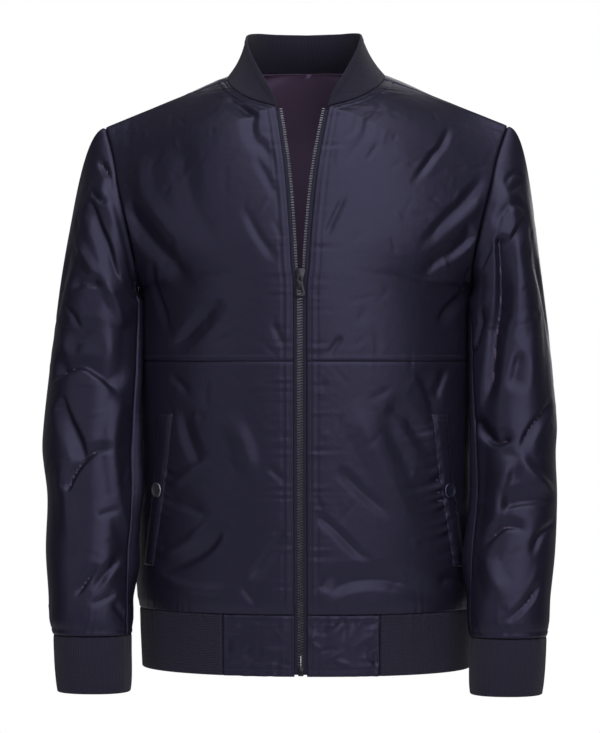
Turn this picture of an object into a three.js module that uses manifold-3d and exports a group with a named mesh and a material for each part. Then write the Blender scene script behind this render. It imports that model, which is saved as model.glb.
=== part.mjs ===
// A zip-front bomber jacket in shiny nylon with a rib collar, cuffs and hem band, filled out as if worn.
// Millimetres, +Z up. The front faces -Y and +X is the wearer's left. The origin is the middle of the
// neck, level with the points where the shoulder seams meet the collar.
import * as THREE from "three";
import { mergeVertices } from "three/addons/utils/BufferGeometryUtils.js";
import Module from "manifold-3d";

const wasm = await Module();
wasm.setup();

// Driving dimensions
const SHELL = 1.6; // outer nylon with its lining
const RIB = 2.6; // doubled rib knit
const LINING = 1.0;
const TAPE = 0.9; // woven zip tape
const WELT = 1.5; // pocket welt, laid on the front
const SEAM_GAP = 0.5; // between pieces that are sewn together
const LAYER_GAP = 0.35; // between a piece and what lies on it

const HEM_Z = -677; // lower edge of the hem band
const BAND_TOP_Z = -609;
const YOKE_Z = -327;
const CUFF_TOP_Z = -634;
const CUFF_END_Z = -697;
const HEM_FRONT_X = 88; // the nylon part of the hem band reaches this far from the zip

// Places along a panel, in steps from its hem seam at 0 to its shoulder seam at 100
const YOKE_STEP = 45; // the seam across the chest
const ARM_STEP = 58; // the underarm
const FRONT_NECK_STEP = 85;
const BACK_NECK_STEP = 79;
const SHOULDER_STEP = 100;
const BAND_STEP = -10; // the hem band's lower edge
const ZIP_TOP_STEP = 84.4;
const SHOULDER_AT_NECK = 0.62; // where the shoulder seam meets the neckline, from centre back to front end

// A table is an array of rows with the same named columns. at() reads it between rows with a smooth curve.
function at(rows, key, value) {
  const last = rows.length - 1;
  let i = rows.findIndex((row) => row[key] > value) - 1;
  if (i === -2) i = last - 1;
  i = Math.max(0, Math.min(last - 1, i));
  const slope = (column, j) => {
    const before = rows[Math.max(0, j - 1)];
    const after = rows[Math.min(last, j + 1)];
    return (after[column] - before[column]) / (after[key] - before[key]);
  };
  const [a, b] = [rows[i], rows[i + 1]];
  const step = b[key] - a[key];
  const t = Math.max(0, Math.min(1, (value - a[key]) / step));
  const found = {};
  for (const column of Object.keys(a)) {
    found[column] =
      a[column] * (1 + 2 * t) * (1 - t) ** 2 +
      b[column] * t ** 2 * (3 - 2 * t) +
      slope(column, i) * step * t * (1 - t) ** 2 +
      slope(column, i + 1) * step * t ** 2 * (t - 1);
  }
  return found;
}
const point = (row) => new THREE.Vector3(row.x, row.y, row.z);
const table = (columns, ...rows) =>
  rows.map((row) => Object.fromEntries(columns.split(" ").map((name, i) => [name, row[i]])));

// The front edge beside the zip, from the hem to the neck. It opens into a V above the slider.
const FRONT_EDGE = table(
  "step x y z",
  [-10, 7, -111, HEM_Z],
  [-4, 7, -111.8, -636],
  [0, 7, -112.5, BAND_TOP_Z],
  [3, 7, -117, -596],
  [8, 7, -118.5, -570],
  [30, 7, -122, -450],
  [45, 7, -125.2, -327],
  [53, 7, -125.3, -264],
  [56, 7.5, -125, -238],
  [58, 9.3, -124.6, -224],
  [66, 12, -120, -180],
  [74, 17.3, -108, -120],
  [80, 23.5, -93, -76],
  [85, 29.5, -78, -41],
);
const CENTRE_BACK = table(
  "step x y z",
  [-10, 0, 110, HEM_Z],
  [-4, 0, 111.5, -636],
  [0, 0, 112.5, BAND_TOP_Z],
  [3, 0, 117, -596],
  [8, 0, 118.5, -570],
  [30, 0, 121, -450],
  [45, 0, 128, -327],
  [58, 0, 133, -225],
  [66, 0, 131, -150],
  [74, 0, 117, -66],
  [76.5, 0, 102, -28],
  [79, 0, 80, 13],
);
const SIDE_SEAM = table(
  "step x y z",
  [-10, 189, 3, HEM_Z],
  [-4, 191, 3, -636],
  [0, 192, 3, BAND_TOP_Z],
  [3, 194.5, 3, -596],
  [8, 196, 3, -570],
  [30, 192, 3, -450],
  [45, 190.5, 3, -327],
  [53, 190.5, 3, -280],
  [58, 193.5, 4, -246],
);
const FRONT_ARMHOLE = table(
  "step x y z",
  [58, 193.5, 4, -246],
  [62, 190.5, -26, -240],
  [67, 191, -51, -218],
  [75, 200, -60, -174],
  [84, 211, -50, -130],
  [92, 219, -31, -94],
  [100, 231, -8, -57.5],
);
const BACK_ARMHOLE = table(
  "step x y z",
  [58, 193.5, 4, -246],
  [62, 194, 33, -240],
  [68, 199, 57, -210],
  [76, 207, 66, -165],
  [84, 215, 58, -124],
  [91, 222, 38, -92],
  [96, 227, 16, -69],
  [100, 231, -8, -57.5],
);
// The seam where the collar is sewn on, from the centre back to the top of the zip
const NECKLINE = table(
  "share x y z",
  [0, 0, 80, 13],
  [0.2, 43, 71, 13],
  [0.4, 75, 46, 10],
  [0.54, 89, 13, 3.5],
  [0.62, 89.5, -8, -4],
  [0.75, 80, -37, -16.5],
  [0.88, 60, -60, -30],
  [1, 29.5, -78, -41],
);
const COLLAR_TOP = table(
  "share x y z",
  [0, 0, 65, 58],
  [0.2, 37, 57, 58],
  [0.4, 58.5, 37, 57.5],
  [0.54, 67.5, 9, 55.5],
  [0.64, 67, -14, 46],
  [0.72, 63.5, -31, 31],
  [0.79, 56.5, -45, 15],
  [0.88, 46, -60, -5],
  [0.94, 39, -69, -18],
  [1, 30, -76.5, -35.5],
);
// How each row of a panel leaves its inner edge (i) and reaches its outer edge (o)
const FRONT_REACH = table(
  "step ix iy iz ox oy oz",
  [0, 104, 0, 0, 0, -66, 0],
  [30, 107, 0, 0, 0, -72, 0],
  [45, 108, 0, 0, 0, -75, 0],
  [58, 102, 0, -6, -1, -62, 0],
  [62, 100, 0, -9, -8, -46, 3],
  [67, 94, -1, -12, -26, -38, 8],
  [75, 84, -4, -18, -44, -32, 13],
  [84, 62, -16, -20, -52, -22, 18],
  [92, 50, -13, -20, -48, -12, 20],
  [100, 44, 2, -14, -46, 0, 19],
);
const BACK_REACH = table(
  "step ix iy iz ox oy oz",
  [0, 104, 0, 0, 0, 66, 0],
  [30, 106, 0, 0, 0, 70, 0],
  [45, 108, 0, 0, 0, 74, 0],
  [58, 106, 0, 0, 0, 70, 0],
  [62, 103, 0, 0, -7, 54, 2],
  [68, 98, 0, 0, -30, 42, 8],
  [76, 86, 0, 0, -48, 32, 14],
  [80, 72, 4, -2, -54, 26, 17],
  [88, 62, 16, -12, -52, 20, 19],
  [95, 50, 12, -15, -48, 8, 21],
  [100, 44, 2, -14, -46, 0, 19],
);
// Rings of the sleeves, level with the floor: centre, half width and half depth. The two arms don't hang
// quite alike: apart is how far the right one stands out from the table and the left one in, and fuller
// is how much wider and narrower they are.
const SLEEVE = table(
  "z x y wide deep apart fuller",
  [CUFF_TOP_Z + SEAM_GAP, 233.4, -75, 43.6, 39.4, 3.4, 0.6],
  [-627, 233.8, -73.8, 44.6, 40.8, 3.8, 0.6],
  [-616, 234.2, -71.2, 46.5, 45.2, 4.4, 0.5],
  [-590, 235.4, -66, 47, 49, 4.4, 0.4],
  [-540, 239.4, -56, 48, 52, 3.9, 0.4],
  [-480, 241.5, -44, 47.2, 56, 1.2, 1.7],
  [-430, 243.3, -34, 48.4, 60, 3.6, 3.4],
  [-400, 243.1, -28, 49.2, 61.5, 3, 3],
  [-340, 239.5, -18, 48, 64, 2.8, 2.8],
  [-292, 237.2, -9, 46.2, 65, 2.8, 2.8],
);
const CUFF = table(
  "z x y wide deep apart fuller",
  [CUFF_END_Z, 230.6, -84, 40.6, 35.5, 3.2, 0.4],
  [-686, 231, -82.6, 41.6, 37, 3.2, 0.4],
  [-655, 232.6, -78.5, 42.4, 38.4, 3.3, 0.5],
  [CUFF_TOP_Z, 233.4, -75, 43.3, 39, 3.4, 0.6],
);
// How the sleeve cap leaves the armhole (a) and reaches the first ring (b), by angle round the arm
const CAP = table(
  "angle ax ay az bx by bz",
  [0, 2, -2, -12, -1, 1, 16],
  [45, 11, -9, -14, -2, 6, 26],
  [90, 25, -11, -22, -3, 9, 58],
  [135, 27, -6, -12, -8, 8, 108],
  [180, 24, 0, -3, -20, 0, 148],
  [225, 27, 6, -12, -8, -8, 108],
  [270, 25, 11, -22, -3, -9, 58],
  [315, 11, 9, -14, -2, -6, 26],
  [360, 2, -2, -12, -1, 1, 16],
);
const CAP_SHARE = 0.36; // of the sleeve's rows are in its cap

// The largest folds. Each runs from one place to another, sunk (-) or raised (+) by its depth.
const FRONT_FOLDS = table(
  "side a0 z0 a1 z1 width depth",
  [-1, 88, -68, 30, -205, 10, -4],
  [-1, 182, -150, 62, -300, 26, -5],
  [-1, 186, -215, 120, -262, 20, -6],
  [-1, 92, -258, 132, -312, 13, -4.5],
  [-1, 150, -345, 128, -372, 12, -4],
  [-1, 158, -530, 62, -482, 17, -6],
  [-1, 120, -575, 40, -520, 15, 4],
  [-1, 60, -600, 30, -500, 12, -4],
  [1, 86, -66, 38, -150, 9, -4],
  [1, 196, -118, 108, -232, 17, -5],
  [1, 190, -196, 100, -258, 17, -7],
  [1, 186, -250, 128, -330, 16, -6],
  [1, 150, -340, 122, -392, 14, -4],
  [1, 40, -452, 108, -520, 20, -5],
  [1, 30, -545, 120, -580, 15, -5],
  [1, 168, -575, 90, -592, 14, -4],
);
const BACK_FOLDS = table(
  "side a0 z0 a1 z1 width depth",
  [-1, 190, -170, 110, -300, 22, -6],
  [-1, 185, -240, 60, -420, 24, -5],
  [-1, 178, -400, 70, -520, 20, -5],
  [-1, 150, -590, 40, -540, 14, -5],
  [1, 192, -150, 120, -270, 20, -6],
  [1, 186, -232, 74, -380, 24, -6],
  [1, 172, -420, 40, -486, 20, -5],
  [1, 160, -592, 60, -556, 14, -5],
);
const SLEEVE_FOLDS = table(
  "side a0 z0 a1 z1 width depth",
  [-1, 150, -150, 60, -240, 12, -5],
  [-1, 175, -215, 75, -330, 15, -6],
  [-1, 185, -290, 85, -340, 16, -6],
  [-1, 190, -375, 108, -455, 14, -7],
  [-1, 60, -425, 125, -490, 13, -6],
  [-1, 50, -540, 130, -585, 12, -5],
  [-1, 300, -420, 200, -450, 16, -7],
  [-1, 310, -500, 215, -480, 15, -6],
  [-1, 230, -180, 290, -300, 16, -6],
  [-1, 330, -590, 230, -560, 14, -5],
  [1, 150, -165, 96, -210, 10, -5],
  [1, 92, -190, 70, -400, 15, -8],
  [1, 165, -400, 92, -372, 15, -7],
  [1, 60, -445, 150, -430, 13, -6],
  [1, 74, -430, 72, -590, 18, -8],
  [1, 160, -492, 80, -520, 13, -6],
  [1, 170, -570, 100, -612, 11, -5],
  [1, 205, -420, 300, -450, 16, -7],
  [1, 215, -500, 310, -480, 15, -6],
  [1, 230, -180, 290, -300, 16, -6],
  [1, 230, -570, 330, -600, 14, -5],
);
const SLEEVE_MM_PER_DEGREE = 0.95;
const FOLD_FADE_MM = 16; // the front lies flat this near its own edges

// The sunk or raised depth at a place. scale turns the table's first column into millimetres.
function foldDepth(folds, side, scale, z, x) {
  let depth = 0;
  for (const fold of folds) {
    if (fold.side !== side) continue;
    const run = [scale(fold.a1) - scale(fold.a0), fold.z1 - fold.z0];
    const from = [x - scale(fold.a0), z - fold.z0];
    const length = Math.hypot(...run);
    const along = (from[0] * run[0] + from[1] * run[1]) / length ** 2;
    const off = Math.abs(from[0] * run[1] - from[1] * run[0]) / length;
    const past = Math.max(0, Math.abs(along - 0.5) - 0.5) * length;
    const waist = 0.55 + 0.45 * Math.sin(Math.PI * Math.max(0, Math.min(1, along)));
    depth += fold.depth * waist * Math.exp(-((off ** 2 + past ** 2) / fold.width ** 2) * 2.2);
  }
  return depth;
}

const bezier = (a, b, c, d, t) =>
  a
    .clone()
    .multiplyScalar((1 - t) ** 3)
    .addScaledVector(b, 3 * t * (1 - t) ** 2)
    .addScaledVector(c, 3 * t ** 2 * (1 - t))
    .addScaledVector(d, t ** 3);

// The collar seam's part of a panel's inner edge, from where the straight edge stops up to the shoulder
function neckAt(step, lowStep, lowShare) {
  const share = (step - lowStep) / (SHOULDER_STEP - lowStep);
  return point(at(NECKLINE, "share", lowShare + (SHOULDER_AT_NECK - lowShare) * share));
}

// One place on a panel: across runs 0 to 1 from its inner to its outer edge
function onPanel(inner, armhole, reaches, across, step) {
  const outer = point(step <= ARM_STEP ? at(SIDE_SEAM, "step", step) : at(armhole, "step", step));
  const reach = at(reaches, "step", step);
  const leave = new THREE.Vector3(reach.ix, reach.iy, reach.iz).add(inner);
  const arrive = new THREE.Vector3(reach.ox, reach.oy, reach.oz).add(outer);
  return bezier(inner, leave, arrive, outer, across);
}
function frontPlace(across, step) {
  const straight = step <= FRONT_NECK_STEP;
  const inner = straight ? point(at(FRONT_EDGE, "step", step)) : neckAt(step, FRONT_NECK_STEP, 1);
  return onPanel(inner, FRONT_ARMHOLE, FRONT_REACH, across, step);
}
function backPlace(across, step) {
  const straight = step <= BACK_NECK_STEP;
  const inner = straight ? point(at(CENTRE_BACK, "step", step)) : neckAt(step, BACK_NECK_STEP, 0);
  return onPanel(inner, BACK_ARMHOLE, BACK_REACH, across, step);
}

// A ring's point at an angle in degrees, a little squarer than an ellipse
const SQUARENESS = 2.25;
function onRing(ring, angle) {
  const turn = THREE.MathUtils.degToRad(angle);
  const [c, s] = [Math.cos(turn), Math.sin(turn)];
  const size = (Math.abs(c) ** SQUARENESS + Math.abs(s) ** SQUARENESS) ** (-1 / SQUARENESS);
  return new THREE.Vector3(ring.x - ring.wide * c * size, ring.y - ring.deep * s * size, ring.z);
}

// The armhole as a loop: 0 degrees at the underarm, then up the front to 180 at the shoulder
const turned = (angle) => ((angle % 360) + 360) % 360;
function armholeStep(angle) {
  const rise = turned(angle) <= 180 ? turned(angle) : 360 - turned(angle);
  return ARM_STEP + ((SHOULDER_STEP - ARM_STEP) * rise) / 180;
}
const onArmhole = (angle) =>
  point(at(turned(angle) <= 180 ? FRONT_ARMHOLE : BACK_ARMHOLE, "step", armholeStep(angle)));

// A ring of a sleeve or cuff, where that arm hangs
function ringOf(rings, side, z) {
  const ring = at(rings, "z", z);
  return { ...ring, x: ring.x - side * ring.apart, wide: ring.wide - side * ring.fuller };
}

// One place on a sleeve: down runs 0 to 1 from the armhole to the cuff seam
const sleevePlace = (side) => (angle, down) => {
  const top = SLEEVE[SLEEVE.length - 1].z;
  if (down >= CAP_SHARE) {
    const share = (down - CAP_SHARE) / (1 - CAP_SHARE);
    return onRing(ringOf(SLEEVE, side, top + (SLEEVE[0].z - top) * share), angle);
  }
  const way = at(CAP, "angle", turned(angle));
  const from = onArmhole(angle);
  const to = onRing(ringOf(SLEEVE, side, top), angle);
  const leave = new THREE.Vector3(way.ax, way.ay, way.az).add(from);
  const arrive = new THREE.Vector3(way.bx, way.by, way.bz).add(to);
  return bezier(from, leave, arrive, to, down / CAP_SHARE);
};

// The outward direction of a surface, from places a little to each side
function facing(place, nearAcross, nearUp, sign) {
  return (across, up) => {
    const along = place(across + nearAcross, up).sub(place(across - nearAcross, up));
    const rise = place(across, up + nearUp).sub(place(across, up - nearUp));
    return along.cross(rise).normalize().multiplyScalar(sign);
  };
}
const frontOut = facing(frontPlace, 0.01, 0.4, 1);
const backOut = facing(backPlace, 0.01, 0.4, -1);
const sleeveOut = (side) => facing(sleevePlace(side), 2, 0.01, -1);

// Where pieces are sewn together they share one outward direction, so that their walls meet edge to edge
function armholeOut(side, angle) {
  const step = armholeStep(angle);
  const turn = turned(angle);
  const body = new THREE.Vector3();
  if (turn <= 180) body.add(frontOut(1, step));
  if (turn === 0 || turn >= 180) body.add(backOut(1, step));
  return body.normalize().add(sleeveOut(side)(angle, 0.012)).normalize();
}
function panelOut(side, own, angleOf) {
  return (across, step) => {
    if (across === 1 && step >= ARM_STEP) return armholeOut(side, angleOf(step));
    if (across === 1 || step === SHOULDER_STEP) {
      return frontOut(across, step).add(backOut(across, step)).normalize();
    }
    return own(across, step);
  };
}
const riseAngle = (step) => (180 * (step - ARM_STEP)) / (SHOULDER_STEP - ARM_STEP);
const frontSeamOut = (side) => panelOut(side, frontOut, riseAngle);
const backSeamOut = (side) => (across, step) => {
  const out = panelOut(side, backOut, (s) => 360 - riseAngle(s))(across, step);
  return across === 0 && step <= BACK_NECK_STEP ? out.setX(0).normalize() : out;
};
const sleeveSeamOut = (side) => (angle, down) =>
  down === 0 ? armholeOut(side, angle) : sleeveOut(side)(angle, down);

const spread = (from, to, count) => Array.from({ length: count + 1 }, (_, i) => from + ((to - from) * i) / count);

// A grid is rows of cells; a cell is a spot on the cloth's outer face and the outward direction there
function gridOf(rows, columns, side, place, out) {
  const flipped = (v) => new THREE.Vector3(v.x * side, v.y, v.z);
  return rows.map((r) => columns.map((c) => ({ spot: flipped(place(c, r)), out: flipped(out(c, r)) })));
}
const copyOf = (grid, [r0, r1], [c0, c1]) =>
  grid
    .slice(r0, r1 + 1)
    .map((row) => row.slice(c0, c1 + 1).map(({ spot, out }) => ({ spot: spot.clone(), out: out.clone() })));
const backwards = (grid) => grid.map((row) => row.toReversed());

// Moves every spot out by a depth and turns the outward directions inside the rim to suit
function relief(grid, depthAt, round = false) {
  const moved = grid.map((row, r) =>
    row.map(({ spot, out }, c) => ({ spot: spot.clone().addScaledVector(out, depthAt(spot, c, r)), out })),
  );
  const end = grid[0].length - 1;
  for (let r = 1; r + 1 < moved.length; r++) {
    for (let c = round ? 0 : 1; c < end + (round ? 1 : 0); c++) {
      const after = moved[r][c === end ? 1 : c + 1].spot;
      const before = moved[r][c === 0 ? end - 1 : c - 1].spot;
      const rise = moved[r + 1][c].spot.clone().sub(moved[r - 1][c].spot);
      const out = after.clone().sub(before).cross(rise).normalize();
      moved[r][c].out = out.dot(grid[r][c].out) < 0 ? out.negate() : out;
    }
  }
  return moved;
}

// Draws the chosen edges of a grid in, so that sewn pieces stand a seam's gap apart
function trim(grid, edges) {
  const nudge = (cell, towards) =>
    cell.spot.addScaledVector(towards.spot.clone().sub(cell.spot).normalize(), SEAM_GAP / 2);
  const [last, end] = [grid.length - 1, grid[0].length - 1];
  if (edges.includes("low")) grid[0].forEach((cell, c) => nudge(cell, grid[1][c]));
  if (edges.includes("high")) grid[last].forEach((cell, c) => nudge(cell, grid[last - 1][c]));
  if (edges.includes("start")) grid.forEach((row) => nudge(row[0], row[1]));
  if (edges.includes("end")) grid.forEach((row) => nudge(row[end], row[end - 1]));
  return grid;
}

// Gives grids that meet in one place a thickness inwards, after moving them out by lift
function wall(grids, thickness, lift = 0) {
  const cells = [];
  const places = new Map();
  const numberOf = (cell) => {
    const key = cell.spot.toArray().map((v) => v.toFixed(3)).join(" ").replaceAll("-0.000", "0.000");
    if (!places.has(key)) {
      places.set(key, cells.length);
      cells.push({ spot: cell.spot, out: cell.out.clone() });
    } else cells[places.get(key)].out.add(cell.out);
    return places.get(key);
  };
  const faces = [];
  for (const grid of grids) {
    const numbers = grid.map((row) => row.map(numberOf));
    const made = [];
    let lean = 0;
    for (let r = 0; r + 1 < grid.length; r++) {
      for (let c = 0; c + 1 < grid[0].length; c++) {
        const [a, b, d, e] = [numbers[r][c], numbers[r][c + 1], numbers[r + 1][c], numbers[r + 1][c + 1]];
        made.push([a, b, d], [b, e, d]);
        const along = grid[r][c + 1].spot.clone().sub(grid[r][c].spot);
        lean += along.cross(grid[r + 1][c].spot.clone().sub(grid[r][c].spot)).dot(grid[r][c].out);
      }
    }
    faces.push(...made.map((face) => (lean < 0 ? face.toReversed() : face)));
  }
  const count = cells.length;
  const points = [lift, lift - thickness].flatMap((depth) =>
    cells.map(({ spot, out }) => spot.clone().addScaledVector(out.clone().normalize(), depth)),
  );
  const index = faces.flatMap(([a, b, c]) => [a, b, c, a + count, c + count, b + count]);
  const edges = new Set(faces.flatMap(([a, b, c]) => [`${a} ${b}`, `${b} ${c}`, `${c} ${a}`]));
  for (const edge of edges) {
    const [a, b] = edge.split(" ").map(Number);
    if (!edges.has(`${b} ${a}`)) index.push(b, a, a + count, b, a + count, b + count);
  }
  return new THREE.BufferGeometry().setFromPoints(points).setIndex(index);
}

// Rows and columns of the panels. The armhole's rows on the body match the sleeve's columns.
const ARM_ROWS = 14;
const BAND_ROWS = 4;
const LOWER_ROWS = 12;
const CHEST_ROWS = 4;
const BODY_STEPS = [
  ...spread(0, YOKE_STEP, LOWER_ROWS),
  ...spread(YOKE_STEP, ARM_STEP, CHEST_ROWS).slice(1),
  ...spread(ARM_STEP, SHOULDER_STEP, ARM_ROWS).slice(1),
];
const TOP_ROW = BODY_STEPS.length - 1;
const FRONT_ACROSS = [0, 0.04, ...spread(0.11, 1, 11)];
const FRONT_COLUMNS = FRONT_ACROSS.length - 1;
const BACK_COLUMNS = 11;
const SLEEVE_ROWS = 22;
const SLEEVE_ANGLES = spread(0, 360, ARM_ROWS * 2);
const BODY_SEAM = 2; // the sleeve's inner seam, counted in its columns from the underarm
const ELBOW_SEAM = 17;

const ease = (distance) => THREE.MathUtils.smoothstep(distance, 0, FOLD_FADE_MM);

function frontGrid(side, steps, columns) {
  const grid = gridOf(steps, columns, side, frontPlace, frontSeamOut(side));
  return relief(grid, (p, c, r) => {
    const [across, step] = [columns[c], steps[r]];
    const x = Math.abs(p.x);
    const seams = ease(Math.abs(p.z - YOKE_Z)) * ease(p.z - BAND_TOP_Z - 5);
    const edges = ease(x - 18) * ease((1 - across) * 240) * ease((SHOULDER_STEP - step) * 4);
    return seams * edges * foldDepth(FRONT_FOLDS, side, (v) => v, p.z, x);
  });
}

function backGrid(side) {
  const columns = spread(0, 1, BACK_COLUMNS);
  const grid = gridOf(BODY_STEPS, columns, side, backPlace, backSeamOut(side));
  return relief(grid, (p, c, r) => {
    const edges = ease((1 - columns[c]) * 240) * ease((SHOULDER_STEP - BODY_STEPS[r]) * 4);
    const both = [1, -1].map((half) => foldDepth(BACK_FOLDS, half, (v) => v, p.z, p.x * half));
    return edges * ease(p.z - BAND_TOP_Z - 5) * (both[0] + both[1]);
  });
}

function sleeveGrid(side) {
  const downs = spread(1, 0, SLEEVE_ROWS);
  const grid = gridOf(downs, SLEEVE_ANGLES, side, sleevePlace(side), sleeveSeamOut(side));
  const mm = (angle) => angle * SLEEVE_MM_PER_DEGREE;
  const folded = (p, c, r) => {
    const ends = ease(downs[r] * 420) * ease((1 - downs[r]) * 420 - 7);
    return ends * foldDepth(SLEEVE_FOLDS, side, mm, p.z, mm(SLEEVE_ANGLES[c]));
  };
  return relief(grid, folded, true);
}

// Level rings from one table, closed round and given a wall
function tube(rows, rings, columns, side, thickness) {
  const place = (angle, z) => onRing(ringOf(rings, side, z), angle);
  const heights = spread(rings[0].z, rings[rings.length - 1].z, rows);
  const grid = gridOf(heights, spread(0, 360, columns), side, place, facing(place, 1, 0.5, 1));
  return wall([grid], thickness);
}

// The hem band carries on below the fronts and the back, with nylon beside the zip and rib round the rest
const BAND_STEPS = spread(BAND_STEP, 0, BAND_ROWS);
function acrossAtX(x) {
  let [low, high] = [0, 1];
  for (let i = 0; i < 30; i++) {
    const middle = (low + high) / 2;
    if (frontPlace(middle, 0).x < x) low = middle;
    else high = middle;
  }
  return low;
}
const RIB_START = acrossAtX(HEM_FRONT_X);

function hemFront(side) {
  const grid = gridOf(BAND_STEPS, spread(0, RIB_START, 6), side, frontPlace, frontSeamOut(side));
  return wall([trim(grid, ["high", "end"])], SHELL);
}

function hemRib() {
  const half = (side) => {
    const front = gridOf(BAND_STEPS, spread(RIB_START, 1, 9), side, frontPlace, frontSeamOut(side));
    const back = gridOf(BAND_STEPS, spread(1, 0, 11), side, backPlace, backSeamOut(side));
    return front.map((row, r) => [...row, ...back[r].slice(1)]);
  };
  return wall([1, -1].map((side) => trim(half(side), ["high", "start"])), RIB);
}

// The rib collar stands on the neckline, leans in and thins to nothing at the zip
const COLLAR_LIFT = 1; // from the neckline to the collar's lower edge
const COLLAR_HOLLOW = 8; // it curves inwards by this much on its way up
const COLLAR_LEAN = -2.5; // the standing part leans a little to the wearer's right
const COLLAR_FRONT_Z = COLLAR_TOP.at(-1).z;
const COLLAR_TALL = COLLAR_TOP[0].z - COLLAR_FRONT_Z;
const collarPlace = (side) => (share, up) => {
  const base = point(at(NECKLINE, "share", share));
  const top = point(at(COLLAR_TOP, "share", share));
  top.x += (side * COLLAR_LEAN * (top.z - COLLAR_FRONT_Z)) / COLLAR_TALL;
  base.z += COLLAR_LIFT;
  const inward = new THREE.Vector3(-base.x, -base.y, 0).normalize();
  const middle = base.clone().lerp(top, 0.42).addScaledVector(inward, COLLAR_HOLLOW * (1 - share ** 6));
  return base
    .multiplyScalar((1 - up) ** 2)
    .addScaledVector(middle, 2 * up * (1 - up))
    .addScaledVector(top, up ** 2);
};
function collar() {
  const half = (side) => {
    const out = facing(collarPlace(side), 0.004, 0.02, -1);
    return gridOf(spread(0, 1, 5), spread(0, 1, 18), side, collarPlace(side), out);
  };
  return wall([1, -1].map(half), RIB);
}

// A strip beside the front edge, with the front's own rows. near and far are measured from the edge, and
// minus is towards the middle.
function edgeStrip(side, [near, far], lowest, thickness, depth) {
  const between = [...BAND_STEPS, ...BODY_STEPS.slice(1)].filter((step) => step > lowest && step < ZIP_TOP_STEP);
  const rows = [lowest, ...between, ZIP_TOP_STEP];
  const place = (away, step) => {
    const reach = at(FRONT_REACH, "step", step);
    return frontPlace(away / (3 * Math.hypot(reach.ix, reach.iy, reach.iz)), step);
  };
  const out = facing(place, 0.5, 0.3, 1);
  return wall([gridOf(rows, [near, far], side, place, out)], thickness, -depth);
}
const TAPE_FRONT = SHELL + LAYER_GAP; // the tape lies behind the front's edge
const TOOTH_HALF = 1.25; // the teeth stand this far in front of and behind the tape's middle
const CHAIN_DEPTH = TAPE_FRONT + TAPE / 2;

function zipTape(side) {
  return edgeStrip(side, [-3.7, 9], BAND_STEP + 0.3, TAPE, TAPE_FRONT);
}
function zipTeeth(side) {
  return edgeStrip(side, [-6.8, -4], BAND_STEP + 2, 2 * TOOTH_HALF, CHAIN_DEPTH - TOOTH_HALF);
}

// Solids for the metal parts
const boxOf = (w, d, h, x, y, z) => new THREE.BoxGeometry(w, d, h).translate(x, y, z);
function solid(geometry) {
  const bare = geometry.clone();
  bare.deleteAttribute("normal");
  bare.deleteAttribute("uv");
  const merged = mergeVertices(bare, 1e-4);
  return new wasm.Manifold(
    new wasm.Mesh({
      numProp: 3,
      vertProperties: merged.attributes.position.array,
      triVerts: new Uint32Array(merged.index.array),
    }),
  );
}
function fromSolid(made) {
  const mesh = made.getMesh();
  return new THREE.BufferGeometry()
    .setAttribute("position", new THREE.BufferAttribute(new Float32Array(mesh.vertProperties), 3))
    .setIndex(new THREE.BufferAttribute(new Uint32Array(mesh.triVerts), 1));
}

// A flat plate facing the front, its outline given as half widths at heights
function plate(outline, thick, frontY) {
  const shape = new THREE.Shape();
  shape.setFromPoints([
    ...outline.map(([half, z]) => new THREE.Vector2(half, z)),
    ...outline.toReversed().map(([half, z]) => new THREE.Vector2(-half, z)),
  ]);
  return new THREE.ExtrudeGeometry(shape, { depth: thick, bevelEnabled: false })
    .rotateX(Math.PI / 2)
    .translate(0, frontY + thick, 0);
}

const SLIDER_Z = -231.5; // middle of the slider's body
const CHAIN_Y = -124.8 + CHAIN_DEPTH;
const PLATE = 1.2;
const PLATE_GAP = 0.6; // between the teeth and the slider's plates
const SLIDER_FRONT_Y = CHAIN_Y - TOOTH_HALF - PLATE_GAP - PLATE;
const SLIDER_BACK_Y = CHAIN_Y + TOOTH_HALF + PLATE_GAP;
const BAIL = { wide: 1.7, thick: 1.25, stands: 3.9, low: -4.3, high: 5.1 };
const PIVOT_Y = SLIDER_FRONT_Y - 1.7;
const PIVOT_Z = SLIDER_Z - 1.9;

function slider() {
  const outline = [
    [2.6, SLIDER_Z - 6.2],
    [4.1, SLIDER_Z - 5],
    [4.5, SLIDER_Z],
    [5.6, SLIDER_Z + 3.6],
    [4.8, SLIDER_Z + 5.8],
    [2.2, SLIDER_Z + 6.6],
  ];
  const through = SLIDER_BACK_Y - SLIDER_FRONT_Y;
  const neck = boxOf(1.4, through, 1.6, 0, (SLIDER_BACK_Y + SLIDER_FRONT_Y) / 2, SLIDER_Z + 5.6);
  const leg = (z) => boxOf(BAIL.wide, BAIL.stands, BAIL.thick, 0, SLIDER_FRONT_Y - BAIL.stands / 2 + 0.2, z);
  const tall = BAIL.high - BAIL.low;
  const outside = SLIDER_FRONT_Y - BAIL.stands + BAIL.thick / 2;
  const bar = boxOf(BAIL.wide, BAIL.thick, tall, 0, outside, SLIDER_Z + (BAIL.high + BAIL.low) / 2);
  const pieces = [
    plate(outline, PLATE, SLIDER_FRONT_Y),
    plate(outline, PLATE, SLIDER_BACK_Y),
    neck,
    bar,
    leg(SLIDER_Z + BAIL.low + BAIL.thick / 2),
    leg(SLIDER_Z + BAIL.high - BAIL.thick / 2),
  ];
  return fromSolid(pieces.map(solid).reduce((a, b) => a.add(b)));
}

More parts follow.
